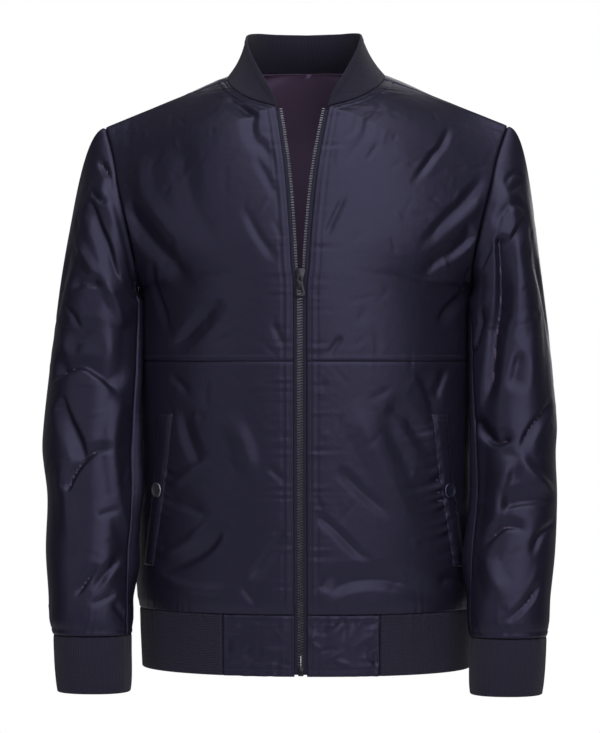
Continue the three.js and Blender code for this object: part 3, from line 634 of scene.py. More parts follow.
    def crumpled(
        self, count: int, lean: float, spread: float, depth: tuple[float, float], seed: int
    ) -> Array:
        """The depth of many small wrinkles, at every place.

        Args:
            count: how many.
            lean: their mean direction, in degrees up from across.
            spread: how far they turn from it, in degrees.
            depth: the least and greatest depth in millimetres.
            seed: fixes where they lie.

        Returns:
            The move outwards in millimetres.
        """
        rng = np.random.default_rng(seed)
        last, end = self.form.shape[0] - 1, self.form.shape[1] - 1
        total = np.zeros(self.form.shape[:2])
        for _ in range(count):
            row, column = rng.uniform(0, last), rng.uniform(0, end)
            turn = math.radians(lean + rng.normal(0, spread))
            length = rng.uniform(12, 46)
            width = rng.uniform(2.4, 5.5)
            size = rng.uniform(*depth) * min(1, width / 4)
            r, c = min(int(row), last - 1), min(int(column), end - 1)
            tall = max(np.linalg.norm(self.form[r + 1, c] - self.form[r, c]), 0.4)
            wide = max(np.linalg.norm(self.form[r, c + 1] - self.form[r, c]), 0.4)
            bow = rng.uniform(-0.12, 0.12) * length
            share = np.linspace(-0.5, 0.5, 7)
            over = bow * (0.25 - share**2) * 4
            rows = row + (share * length * math.sin(turn) + over * math.cos(turn)) / tall
            columns = column + (share * length * math.cos(turn) - over * math.sin(turn)) / wide
            line = self.pick(self.form, rows, columns)
            reach = length / 2 + 3 * width
            r0, r1 = max(0, int(row - reach / tall)), min(last, int(row + reach / tall) + 1)
            c0, c1 = int(column - reach / wide), int(column + reach / wide) + 1
            if self.closed:
                window = np.unique(np.arange(c0, min(c1, c0 + end)) % (end + 1))
            else:
                window = np.arange(max(0, c0), min(end, c1) + 1)
            crease = Crease.VALLEY if rng.uniform() < 0.6 else Crease.RIDGE
            fold = Fold((), (width, width * rng.uniform(0.6, 1.8)), size, crease, ends=(0.45, 0.45))
            rows_in = np.arange(r0, r1 + 1)
            total[np.ix_(rows_in, window)] += self.depth_of(line, fold, rows_in, window)
        return total

    def piece(self, rows: tuple[int, int], columns: tuple[int, int]) -> "Cloth":
        """Copies a stretch of the cloth.

        Args:
            rows: its first and last row.
            columns: its first and last column, which can lie past a closed cloth's end.

        Returns:
            The stretch.
        """
        count = self.spots.shape[1]
        picked = np.arange(columns[0], columns[1] + 1) % count
        part = Cloth(
            self.row_keys[rows[0] : rows[1] + 1],
            self.column_keys[picked],
            self.form[rows[0] : rows[1] + 1][:, picked],
            self.hand,
        )
        part.spots = self.spots[rows[0] : rows[1] + 1][:, picked]
        part.outs = self.outs[rows[0] : rows[1] + 1][:, picked]
        return part

    def trim(self, edges: str = "low high start end") -> "Cloth":
        """Draws the named edges in by half a seam's gap.

        Args:
            edges: any of low, high, start and end.

        Returns:
            The cloth itself.
        """
        for name, edge, inner in (("low", 0, 1), ("high", -1, -2)):
            if name in edges:
                self.spots[edge] += unit(self.spots[inner] - self.spots[edge]) * SEAM_GAP / 2
        for name, edge, inner in (("start", 0, 1), ("end", -1, -2)):
            if name in edges:
                self.spots[:, edge] += unit(self.spots[:, inner] - self.spots[:, edge]) * SEAM_GAP / 2
        return self

    def tuck(self, edges: str, reach: float = 2.5, under: float = 2.0) -> "Cloth":
        """Runs the named edges on beyond their seams, under the next cloth, so that no light gets through.

        Args:
            edges: any of high, start and end.
            reach: how far beyond, in millimetres.
            under: how far inwards.

        Returns:
            The cloth itself.
        """
        every = slice(None)
        for name, edge, inner in (
            ("high", (-1, every), (-2, every)),
            ("start", (every, 0), (every, 1)),
            ("end", (every, -1), (every, -2)),
        ):
            if name in edges:
                beyond = unit(self.spots[edge] - self.spots[inner]) * reach
                self.spots[edge] += beyond - self.outs[edge] * under
        return self

    def cut(self) -> tuple[tuple[float, float], float]:
        """The width and length, and the area, that the smooth form was cut to, in metres.

        Returns:
            The width and length, and the area in square metres.
        """
        a = self.form[:-1, :-1], self.form[:-1, 1:], self.form[1:, :-1], self.form[1:, 1:]
        area = np.linalg.norm(np.cross(a[3] - a[0], a[2] - a[1]), axis=-1).sum() / 2 * MM * MM
        width, length = self.across[:, -1].max() * MM, self.along[-1].max() * MM
        return (width, length), float(min(area, width * length))


def even_keys(place: Callable[[Array], Array], stops: tuple[float, ...], spacing: float) -> Array:
    """Keys that stand about evenly apart along a line, with every stop among them.

    Args:
        place: gives places for an array of keys.
        stops: the keys to keep, in order.
        spacing: the distance between keys, in millimetres.

    Returns:
        The keys.
    """
    keys = [np.array([stops[0]])]
    for low, high in zip(stops, stops[1:]):
        fine = np.linspace(low, high, 400)
        way = np.concatenate([[0], np.cumsum(np.linalg.norm(np.diff(place(fine), axis=0), axis=-1))])
        count = max(2, round(way[-1] / spacing))
        keys.append(np.interp(np.linspace(0, way[-1], count + 1)[1:], way, fine))
    return np.concatenate(keys)


def mirrored(spots: Array, side: int) -> Array:
    """Places on the wearer's left, or their mirror image where side is -1."""
    return spots * np.array([side, 1, 1])


# Node trees


class Tree:
    """A node tree under construction, a material's, the world's or a geometry one."""

    def __init__(self, tree: bpy.types.NodeTree) -> None:
        """Takes the tree over and empties it."""
        self.tree = tree
        tree.nodes.clear()

    def add(self, kind: str, inputs: dict | None = None, **settings: object) -> bpy.types.Node:
        """Adds a node.

        Args:
            kind: the node's type name.
            inputs: a value, or another node's output socket, for each input by name or number.
            settings: the node's own properties.

        Returns:
            The node.
        """
        node = self.tree.nodes.new(kind)
        for name, value in settings.items():
            setattr(node, name, value)
        for key, value in (inputs or {}).items():
            socket = node.inputs[key]
            if isinstance(value, NodeSocket):
                self.tree.links.new(value, socket)
            else:
                socket.default_value = value
        return node

    def math(self, operation: str, a: object, b: object = 0.0) -> NodeSocket:
        """One sum on one or two numbers or sockets."""
        return self.add("ShaderNodeMath", {0: a, 1: b}, operation=operation).outputs[0]

    def mix(self, share: NodeSocket, low: tuple, high: tuple) -> NodeSocket:
        """The colour low where the share is 0, high where it is 1, and between them elsewhere."""
        inputs = {0: share, 6: (*low, 1), 7: (*high, 1)}
        return self.add("ShaderNodeMix", inputs, data_type="RGBA").outputs[2]

    def noise(self, place: bpy.types.Node, scale: float, detail: float = 3.0) -> NodeSocket:
        """Noise over the object's own coordinates, with scale features in a metre."""
        inputs = {"Vector": place.outputs["Object"], "Scale": scale, "Detail": detail}
        return self.add("ShaderNodeTexNoise", inputs).outputs[0]

    def spread(
        self, value: NodeSocket, low: float, high: float, start: float = 0.0, stop: float = 1.0
    ) -> NodeSocket:
        """A value that runs from start to stop, brought to run from low to high."""
        inputs = {"Value": value, "From Min": start, "From Max": stop, "To Min": low, "To Max": high}
        return self.add("ShaderNodeMapRange", inputs).outputs[0]


def new_material(name: str) -> tuple[Material, Tree]:
    """An empty material and its tree.

    Args:
        name: its name.

    Returns:
        The material and the tree.
    """
    material = bpy.data.materials.new(name)
    material.use_nodes = True
    return material, Tree(material.node_tree)


@dataclass(frozen=True)
class ClothFinish:
    """A woven cloth: its colours, gloss, weave and the fine crumple that no fold shows."""

    name: str
    colour: tuple[float, float, float]
    deep: tuple[float, float, float]
    roughness: float = 0.42
    weave_mm: float = 0.5
    weave_depth: float = 0.02
    crumple_mm: float = 9.0
    crumple_depth: float = 0.35
    sheen: float = 0.0
    specular: float = 0.5

    def build(self) -> Material:
        """Makes the material.

        Returns:
            The material.
        """
        material, tree = new_material(self.name)
        place = tree.add("ShaderNodeTexCoord")
        uv = tree.add("ShaderNodeSeparateXYZ", {0: place.outputs["UV"]})
        turns = 2 * math.pi / (self.weave_mm * MM)
        warp = tree.math("SINE", tree.math("MULTIPLY", uv.outputs[0], turns))
        weft = tree.math("SINE", tree.math("MULTIPLY", uv.outputs[1], turns))
        weave = tree.math("MULTIPLY", warp, weft)
        patches = tree.noise(place, 14.0)
        crumple = tree.noise(place, 1 / (self.crumple_mm * MM))
        tone = tree.mix(patches, self.deep, self.colour)
        gloss = tree.spread(crumple, self.roughness - 0.04, self.roughness + 0.05)
        fine = tree.add(
            "ShaderNodeBump", {"Height": weave, "Distance": self.weave_depth * MM, "Strength": 0.5}
        )
        soft_bump = tree.add(
            "ShaderNodeBump",
            {"Height": crumple, "Distance": self.crumple_depth * MM, "Normal": fine.outputs[0]},
        )
        shader = tree.add(
            "ShaderNodeBsdfPrincipled",
            {
                "Base Color": tone,
                "Roughness": gloss,
                "Normal": soft_bump.outputs[0],
                "Sheen Weight": self.sheen,
                "Sheen Roughness": 0.5,
                "Specular IOR Level": self.specular,
                "Specular Tint": (*COOL_TINT, 1),
            },
        )
        tree.add("ShaderNodeOutputMaterial", {0: shader.outputs[0]})
        return material


@dataclass(frozen=True)
class RibFinish:
    """A rib knit: ridges and furrows along the piece's own V, with the loops across them, its colour darkened
    into the furrows as painted shade.
    """

    name: str
    colour: tuple[float, float, float]
    # The knit's colour darkened as painted shade, laid where the ribs and loops sink
    painted_furrow_shade: tuple[float, float, float]
    rib_mm: float = 2.0
    loop_mm: float = 1.5
    rib_share: float = 0.75
    wander_mm: float = 1.2
    depth: float = 0.35
    roughness: float = 0.75

    def build(self) -> Material:
        """Makes the material.

        Returns:
            The material.
        """
        material, tree = new_material(self.name)
        place = tree.add("ShaderNodeTexCoord")
        uv = tree.add("ShaderNodeSeparateXYZ", {0: place.outputs["UV"]})
        wander = tree.math("MULTIPLY", tree.noise(place, 60.0, 2.0), self.wander_mm * MM)
        along = tree.math("ADD", uv.outputs[0], wander)
        ribs = tree.math("SINE", tree.math("MULTIPLY", along, 2 * math.pi / (self.rib_mm * MM)))
        loops = tree.math("SINE", tree.math("MULTIPLY", uv.outputs[1], 2 * math.pi / (self.loop_mm * MM)))
        parts = tree.math("MULTIPLY", ribs, self.rib_share), tree.math("MULTIPLY", loops, 1 - self.rib_share)
        height = tree.math("ADD", *parts)
        # Painted shade: the colour runs from the knit's own colour down to the darker one as the ribs and
        # loops sink
        tone = tree.mix(tree.spread(height, 0.0, 1.0, -0.9, 0.9), self.painted_furrow_shade, self.colour)
        relief = tree.add("ShaderNodeBump", {"Height": height, "Distance": self.depth * MM, "Strength": 0.8})
        shader = tree.add(
            "ShaderNodeBsdfPrincipled",
            {
                "Base Color": tone,
                "Roughness": self.roughness,
                "Normal": relief.outputs[0],
                "Sheen Weight": 0.06,
                "Sheen Roughness": 0.5,
                "Specular IOR Level": 0.3,
                "Specular Tint": (*COOL_TINT, 1),
            },
        )
        tree.add("ShaderNodeOutputMaterial", {0: shader.outputs[0]})
        return material


@dataclass(frozen=True)
class MetalFinish:
    """A metal with a worn, brushed skin."""

    name: str
    colour: tuple[float, float, float]
    worn: tuple[float, float, float]
    roughness: float = 0.35
    metallic: float = 0.9

    def build(self) -> Material:
        """Makes the material.

        Returns:
            The material.
        """
        material, tree = new_material(self.name)
        place = tree.add("ShaderNodeTexCoord")
        grain = tree.noise(place, 900.0, 4.0)
        tone = tree.mix(tree.noise(place, 260.0, 5.0), self.colour, self.worn)
        gloss = tree.spread(grain, self.roughness - 0.08, self.roughness + 0.1)
        relief = tree.add("ShaderNodeBump", {"Height": grain, "Distance": 0.03 * MM})
        shader = tree.add(
            "ShaderNodeBsdfPrincipled",
            {
                "Base Color": tone,
                "Roughness": gloss,
                "Metallic": self.metallic,
                "Normal": relief.outputs[0],
            },
        )
        tree.add("ShaderNodeOutputMaterial", {0: shader.outputs[0]})
        return material


@dataclass
class Finishes:
    """Every material of the jacket, made once."""

    def __post_init__(self) -> None:
        """Makes the materials."""
        self.nylon = ClothFinish(
            "navy_nylon", (0.0105, 0.0096, 0.0190), (0.0085, 0.0078, 0.0155), roughness=0.41
        ).build()
        self.lining = ClothFinish(
            "plum_lining", (0.096, 0.060, 0.108), (0.072, 0.046, 0.084), roughness=0.5, crumple_depth=0.2
        ).build()
        self.tape = ClothFinish(
            "navy_tape", (0.014, 0.0135, 0.022), (0.010, 0.0098, 0.016), roughness=0.8, weave_mm=0.9,
            weave_depth=0.12, crumple_depth=0.05,
        ).build()
        self.thread = ClothFinish(
            "navy_thread", (0.040, 0.037, 0.062), (0.026, 0.024, 0.042), roughness=0.6, weave_depth=0.0,
            crumple_depth=0.02,
        ).build()
        # The knit's own colour, then the darker colour of the shade painted into its furrows
        knit = (0.0240, 0.0222, 0.0370), (0.0095, 0.0088, 0.0150)
        self.rib = RibFinish("navy_rib", *knit).build()
        self.band = RibFinish("navy_band_rib", *knit, rib_mm=3.4, loop_mm=1.9, rib_share=0.3).build()
        self.teeth = MetalFinish(
            "dark_teeth", (0.045, 0.045, 0.056), (0.17, 0.165, 0.195), roughness=0.32
        ).build()
        self.dark_metal = MetalFinish(
            "blackened_metal", (0.022, 0.022, 0.028), (0.06, 0.06, 0.07), roughness=0.28
        ).build()
        self.snap_grey = MetalFinish("grey_snap", (0.16, 0.16, 0.18), (0.24, 0.24, 0.27)).build()
        self.snap_navy = MetalFinish("navy_snap", (0.045, 0.045, 0.10), (0.08, 0.08, 0.14)).build()


# Meshes


def into_scene(name: str, data: bpy.types.ID) -> Object:
    """A new object of its own, put in the scene.

    Args:
        name: its name.
        data: its mesh, light or camera.

    Returns:
        The object.
    """
    made = bpy.data.objects.new(name, data)
    bpy.context.scene.collection.objects.link(made)
    return made


def new_object(
    name: str,
    points: Array,
    faces: list[tuple[int, ...]],
    materials: tuple[Material, ...],
    uvs: Array | None = None,
    which: list[int] | None = None,
) -> Object:
    """Makes a smooth-shaded mesh object.

    Args:
        name: the object's name.
        points: its places in millimetres.
        faces: its faces, by point number.
        materials: its materials.
        uvs: a U and V in metres for each point.
        which: the material number of each face.

    Returns:
        The object, at the origin.
    """
    mesh = bpy.data.meshes.new(name)
    mesh.from_pydata((points * MM).tolist(), [], faces)
    for material in materials:
        mesh.materials.append(material)
    if uvs is not None:
        layer = mesh.uv_layers.new(name="UVMap")
        corners = np.empty(len(mesh.loops), dtype=np.int32)
        mesh.loops.foreach_get("vertex_index", corners)
        layer.data.foreach_set("uv", uvs[corners].astype(np.float32).ravel())
    if which is not None:
        mesh.polygons.foreach_set("material_index", np.array(which, dtype=np.int32))
    mesh.shade_smooth()
    mesh.update()
    return into_scene(name, mesh)


def coarse(count: int, *kept: int) -> Array:
    """Every second number from 0 to count - 1, with both ends and those kept."""
    return np.unique([*range(0, count, 2), count - 1, *kept])


def quads(grid: Array) -> Array:
    """The faces of a grid of point numbers."""
    return np.stack([grid[:-1, :-1], grid[:-1, 1:], grid[1:, 1:], grid[1:, :-1]], -1).reshape(-1, 4)


def shell(
    name: str,
    cloth: Cloth,
    thickness: float,
    materials: tuple[Material, ...],
    lift: float = 0.0,
    turned_in: Array | float = 0.0,
    joined: tuple[int, int] = (0, 0),
) -> Object:
    """Gives a cloth its wall: a fine outer face, a coarser inner face and a rim between them.

    Args:
        name: the object's name.
        cloth: the grid of the outer face.
        thickness: the wall, in millimetres.
        materials: the outer face's material, then the inner face's.
        lift: how far the outer face stands off the grid.
        turned_in: how much deeper the wall is, as at the edges that are turned in to a seam.
        joined: up to which row the first and the last column have no rim, because another half joins there.

    Returns:
        The object.
    """
    rows, columns = cloth.spots.shape[:2]
    outer = (cloth.spots + cloth.outs * lift).reshape(-1, 3)
    r, c = coarse(rows, *joined), coarse(columns)
    window = np.ix_(r, c)
    wall_depth = np.broadcast_to(thickness + turned_in, (rows, columns))[window][..., None]
    inner = (cloth.spots[window] + cloth.outs[window] * (lift - wall_depth)).reshape(-1, 3)
    uv = np.stack([cloth.across, cloth.along], -1) * MM
    number = np.arange(rows * columns).reshape(rows, columns)
    inside = np.arange(len(inner)).reshape(len(r), len(c)) + rows * columns
    front, back = quads(number), quads(inside)[:, ::-1]
    if cloth.hand < 0:
        front, back = front[:, ::-1], back[:, ::-1]
    rim = []
    for fine, marks, rough, turn, first in (
        (number[0], c, inside[0], 1, 0),
        (number[-1], c, inside[-1], -1, 0),
        (number[:, 0], r, inside[:, 0], -1, joined[0]),
        (number[:, -1], r, inside[:, -1], 1, joined[1]),
    ):
        for i in range(int(np.searchsorted(marks, first)), len(rough) - 1):
            face = [rough[i], rough[i + 1], *fine[marks[i] : marks[i + 1] + 1][::-1]]
            rim.append(tuple(int(n) for n in face[:: turn * cloth.hand]))
    faces = [tuple(f) for f in front.tolist()] + [tuple(f) for f in back.tolist()] + rim
    which = [0] * len(front) + [len(materials) - 1] * len(back) + [0] * len(rim)
    uvs = np.concatenate([uv.reshape(-1, 2), uv[window].reshape(-1, 2)])
    made = new_object(name, np.concatenate([outer, inner]), faces, materials, uvs, which)
    flat = np.ones(len(faces), dtype=bool)
    flat[-len(rim) :] = False
    made.data.polygons.foreach_set("use_smooth", flat)
    return made


def folded_band(
    name: str, cloth: Cloth, thickness: float, material: Material, edge_up: bool, closed: bool
) -> Object:
    """A doubled band: two faces that meet in a round fold at its free edge.

    Args:
        name: the object's name.
        cloth: the grid of its outer face.
        thickness: both layers together, in millimetres.
        material: its material.
        edge_up: whether the free edge is the last row, and not the first.
        closed: whether the band goes all the way round.

    Returns:
        The object.
    """
    spots, outs = cloth.spots, cloth.outs
    along = cloth.along
    if edge_up:
        spots, outs, along = spots[::-1], outs[::-1], along[::-1]
    beyond = unit(spots[0] - spots[1])
    beyond = unit(beyond - outs[0] * (beyond * outs[0]).sum(-1, keepdims=True))
    half = thickness / 2
    turns = np.radians([60, 30, 0, -30, -60])
    centre = spots[0] - outs[0] * half
    rounded = [centre + half * (outs[0] * math.sin(t) + beyond * math.cos(t)) for t in turns]
    step = coarse(len(spots))
    section = np.concatenate([spots[::-1], np.stack(rounded), (spots - outs * thickness)[step]])
    low = along[0]
    onward = (low - along[1]) / np.maximum(abs(low - along[1]), 1e-6)
    turned = [low + onward * half * (1 + i) for i in range(5)]
    v = np.concatenate([along[::-1], np.stack(turned), along[step]])
    count, columns = section.shape[:2]
    number = np.arange(count * columns).reshape(count, columns)
    ring = np.concatenate([number, number[:1]])
    if closed:
        ring = np.concatenate([ring, ring[:, :1]], 1)
    faces = quads(ring)
    ends = [] if closed else [number[:, 0].tolist(), number[::-1, -1].tolist()]
    upwards = (cloth.hand > 0) == edge_up
    faces = [tuple(f) for f in faces.tolist()] + [tuple(e) for e in ends]
    if upwards:
        faces = [f[::-1] for f in faces]
    across = np.broadcast_to(cloth.across.mean(0), (count, columns))
    uvs = np.stack([across, v], -1).reshape(-1, 2) * MM
    return new_object(name, section.reshape(-1, 3), faces, (material,), uvs)


def seam_allowance(cloth: Cloth, start: float = 0.0) -> Array:
    """How much deeper the wall is at the four edges, whose seams are turned in.

    Args:
        cloth: the grid.
        start: how far from its first column the turned-in edges begin, if that column is no seam.

    Returns:
        The extra depth for every place, in millimetres.
    """
    depth = np.zeros(cloth.spots.shape[:2])
    depth[(0, -1), :] = SEAM_ALLOWANCE
    depth[:, (0, -1)] = SEAM_ALLOWANCE
    return depth * ramp(cloth.across - start, 3) if start else depth


def joined_halves(name: str, halves: list[Object]) -> Object:
    """One object of two halves that share the places where they meet.

    Args:
        name: the object's name.
        halves: the halves, which are removed.

    Returns:
        The object.
    """
    mesh = halves[0].data
    work = bmesh.new()
    for half in halves:
        work.from_mesh(half.data)
    bmesh.ops.remove_doubles(work, verts=work.verts, dist=0.001 * MM)
    work.to_mesh(mesh)
    work.free()
    for half in halves:
        bpy.data.objects.remove(half)
    return into_scene(name, mesh)


def dressed(made: Object, slot: str, *nodes: str, body: str = "jacket") -> Object:
    """Fixes a piece to a body, hides the solids that it stands for, and reports it.

    Args:
        made: the piece.
        slot: not used.
        nodes: the solids that it takes the place of.
        body: the body that it moves with.

    Returns:
        The piece.
    """
    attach(made, body)
    if nodes:
        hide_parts(*nodes)
    LOG.info("%s: %d faces", made.name, len(made.data.polygons))
    return made


def as_sheet(made: Object, cloth: Cloth, area: float = 0.0) -> None:
    """Reports the cut of a piece: the size and area of its smooth form.

    Args:
        made: the piece.
        cloth: its grid.
        area: what it was cut to in square metres, where the grid bridges an opening.
    """
    flat, whole = cloth.cut()
    area = area or whole
    LOG.info("%s: cut %.0f by %.0f mm, %.4f m2", made.name, flat[0] / MM, flat[1] / MM, area)


def line_object(name: str, lines: list[Line]) -> Object:
    """Loose lines as one object, with the outward direction kept on its points.

    Args:
        name: the object's name.
        lines: places and outward directions along each line.

    Returns:
        The object.
    """
    points, edges = [], []
    for spots, _ in lines:
        start = sum(len(p) for p in points)
        points.append(spots)
        edges += [(start + i, start + i + 1) for i in range(len(spots) - 1)]
    mesh = bpy.data.meshes.new(name)
    mesh.from_pydata((np.concatenate(points) * MM).tolist(), edges, [])
    outs = mesh.attributes.new("out", "FLOAT_VECTOR", "POINT")
    outs.data.foreach_set("vector", np.concatenate([o for _, o in lines]).astype(np.float32).ravel())
    return into_scene(name, mesh)


class PathTree:
    """A geometry tree that sets one small shape along every line of an object."""

    smooth = True

    def __init__(self, name: str, sizes: dict[str, float]) -> None:
        """Makes the tree with a named input for each size.

        Args:
            name: its name.
            sizes: each input and its first value.
        """
        group = bpy.data.node_groups.new(name, "GeometryNodeTree")
        group.interface.new_socket("Lines", in_out="INPUT", socket_type="NodeSocketGeometry")
        self.sockets = {}
        for label, value in sizes.items():
            socket = group.interface.new_socket(label, in_out="INPUT", socket_type="NodeSocketFloat")
            socket.default_value = value
            self.sockets[label] = socket.identifier
        finish = group.interface.new_socket("Finish", in_out="INPUT", socket_type="NodeSocketMaterial")
        self.sockets["Finish"] = finish.identifier
        group.interface.new_socket("Shapes", in_out="OUTPUT", socket_type="NodeSocketGeometry")
        self.group = group
        self.tree = Tree(group)
        self.given = self.tree.add("NodeGroupInput").outputs
        self.lay()

    def shape(self) -> NodeSocket:
        """The small shape: X along the cloth and across the line, Y outwards and Z along the line."""
        raise NotImplementedError

    def lay(self) -> None:
        """Sets the shape along the lines and ends the tree."""
        add = self.tree.add
        curve = add("GeometryNodeMeshToCurve", {"Mesh": self.given["Lines"]})
        spots = add("GeometryNodeCurveToPoints", {"Curve": curve.outputs[0]}, mode="LENGTH")
        self.tree.tree.links.new(self.given["Pitch"], spots.inputs["Length"])
        out = add("GeometryNodeInputNamedAttribute", {"Name": "out"}, data_type="FLOAT_VECTOR")
        along = add("FunctionNodeAlignRotationToVector", {"Vector": spots.outputs["Tangent"]}, axis="Z")
        turned = add(
            "FunctionNodeAlignRotationToVector",
            {"Rotation": along.outputs[0], "Vector": out.outputs[0]},
            axis="Y",
            pivot_axis="Z",
        )
        size = add("FunctionNodeRandomValue", {2: 0.9, 3: 1.08, "Seed": SEED}, data_type="FLOAT")
        placed = add(
            "GeometryNodeInstanceOnPoints",
            {
                "Points": spots.outputs[0],
                "Instance": self.shape(),
                "Rotation": turned.outputs[0],
                "Scale": size.outputs[1],
            },
        )
        real = add("GeometryNodeRealizeInstances", {0: placed.outputs[0]})
        smooth = add("GeometryNodeSetShadeSmooth", {0: real.outputs[0], "Shade Smooth": self.smooth})
        finish = self.given["Finish"]
        painted = add("GeometryNodeSetMaterial", {"Geometry": smooth.outputs[0], "Material": finish})
        add("NodeGroupOutput", {0: painted.outputs[0]})

    def run(
        self,
        name: str,
        lines: list[Line],
        finish: Material,
        **sizes: float,
    ) -> Object:
        """Makes the shapes along lines and turns them into a plain mesh.

        Args:
            name: the object's name.
            lines: places, in millimetres, and outward directions.
            finish: the shapes' material.
            sizes: sizes that differ from the tree's own, in millimetres, with _ for a space.

        Returns:
            The object.
        """
        made = line_object(name, lines)
        modifier = made.modifiers.new("shapes", "NODES")
        modifier.node_group = self.group
        modifier[self.sockets["Finish"]] = finish
        for label, value in sizes.items():
            modifier[self.sockets[label.replace("_", " ")]] = value * MM
        shown = made.evaluated_get(bpy.context.evaluated_depsgraph_get())
        mesh = bpy.data.meshes.new_from_object(shown)
        made.modifiers.clear()
        made.data = mesh
        return made


class StitchTree(PathTree):
    """Sewn stitches: short fat threads, end to end with a gap."""

    def __init__(self) -> None:
        """Makes the tree."""
        super().__init__("stitch_rows", {"Pitch": 3.1 * MM, "Long": 2.4 * MM, "Thick": 0.62 * MM})

    def shape(self) -> NodeSocket:
        """One stitch.

        Returns:
            Its geometry.
        """
        add = self.tree.add
        ball = add("GeometryNodeMeshUVSphere", {"Segments": 6, "Rings": 4, "Radius": 0.5})
        size = add(
            "ShaderNodeCombineXYZ", {0: self.given["Thick"], 1: self.given["Thick"], 2: self.given["Long"]}
        )
        drawn = add("GeometryNodeTransform", {"Geometry": ball.outputs[0], "Scale": size.outputs[0]})
        return drawn.outputs[0]


class ToothTree(PathTree):
    """The teeth of one half of the zip: a block with a round head that reaches over the middle."""

    smooth = False

    def __init__(self) -> None:
        """Makes the tree."""
        sizes = {"Pitch": 3.0 * MM, "Long": 2.7 * MM, "Thick": 1.25 * MM, "Deep": 2.4 * MM}
        super().__init__("zip_teeth", sizes)

    def shape(self) -> NodeSocket:
        """One tooth, its head at plus X.

        Returns:
            Its geometry.
        """
        add = self.tree.add
        sides = {0: self.given["Long"], 1: self.given["Deep"], 2: self.given["Thick"]}
        block = add("ShaderNodeCombineXYZ", sides)
        body = add("GeometryNodeMeshCube", {"Size": block.outputs[0]})
        head = add(
            "GeometryNodeMeshCylinder",
            {"Vertices": 8, "Radius": 0.85 * MM, "Depth": 2.0 * MM},
            fill_type="NGON",
        )
        reach = self.tree.math("MULTIPLY", self.given["Long"], 0.4)
        spot = add("ShaderNodeCombineXYZ", {0: reach})
        turned = add(
            "GeometryNodeTransform",
            {"Geometry": head.outputs[0], "Translation": spot.outputs[0], "Rotation": (math.pi / 2, 0, 0)},
        )
        both = add("GeometryNodeJoinGeometry")
        self.tree.tree.links.new(turned.outputs[0], both.inputs[0])
        self.tree.tree.links.new(body.outputs[0], both.inputs[0])
        return both.outputs[0]


# The folds of each stretch of cloth. Paths drawn from the front are in the photograph's pixels.
V, R = Crease.VALLEY, Crease.RIDGE
BACK, OUTER, INNER = Side.BACK, Side.OUTER, Side.INNER
LEFT_FRONT_FOLDS = (
    Fold(((383, 102), (368, 125), (352, 152), (340, 172)), (8, 7), 1.7, ends=(0.1, 0.5)),
    Fold(((374, 106), (356, 126), (338, 142)), (5, 5), 1.0, ends=(0.1, 0.5)),
    Fold(((380, 140), (372, 152), (364, 164)), (4, 4), 1.4),
    Fold(((450, 126), (433, 153), (410, 190)), (6, 5), 3.2),
    Fold(((488, 172), (465, 200), (437, 228), (415, 254)), (10, 8), 3.4),
    Fold(((490, 234), (458, 251), (436, 264), (414, 284)), (6, 17), 6.5, ends=(0.1, 0.5)),
    Fold(((486, 266), (466, 289), (446, 310), (438, 330)), (12, 6), 5.5, ends=(0.1, 0.4)),
    Fold(((494, 196), (470, 214), (446, 236)), (9, 9), 2.2, R),
    Fold(((348, 190), (334, 218), (322, 242)), (5, 4), 2.0),
    Fold(((342, 336), (335, 346), (326, 358)), (4, 4), 1.8),
    Fold(((384, 404), (398, 444), (416, 474)), (14, 14), 2.0),
    Fold(((416, 368), (430, 398), (436, 424)), (16, 7), 3.6),
    Fold(((448, 366), (442, 384), (435, 402)), (6, 10), 3.4),
    Fold(((384, 400), (408, 420), (436, 464)), (13, 12), 3.4),
    Fold(((335, 466), (360, 490), (394, 520)), (7, 9), 3.0),
    Fold(((348, 397), (382, 462), (424, 546)), (20, 20), 2.4, R),
    Fold(((315, 512), (335, 530), (358, 553), (378, 564)), (5, 8), 3.4, ends=(0.1, 0.5)),
    Fold(((314, 496), (318, 504), (324, 512)), (4, 4), 1.6, ends=(0.1, 0.5)),
    Fold(((326, 598), (350, 583), (395, 582), (446, 602)), (20, 9), 5.0),
    Fold(((320, 590), (330, 576), (342, 570)), (6, 10), 2.4, ends=(0.1, 0.5)),
    Fold(((436, 584), (452, 578), (472, 590)), (9, 7), 2.8),
)
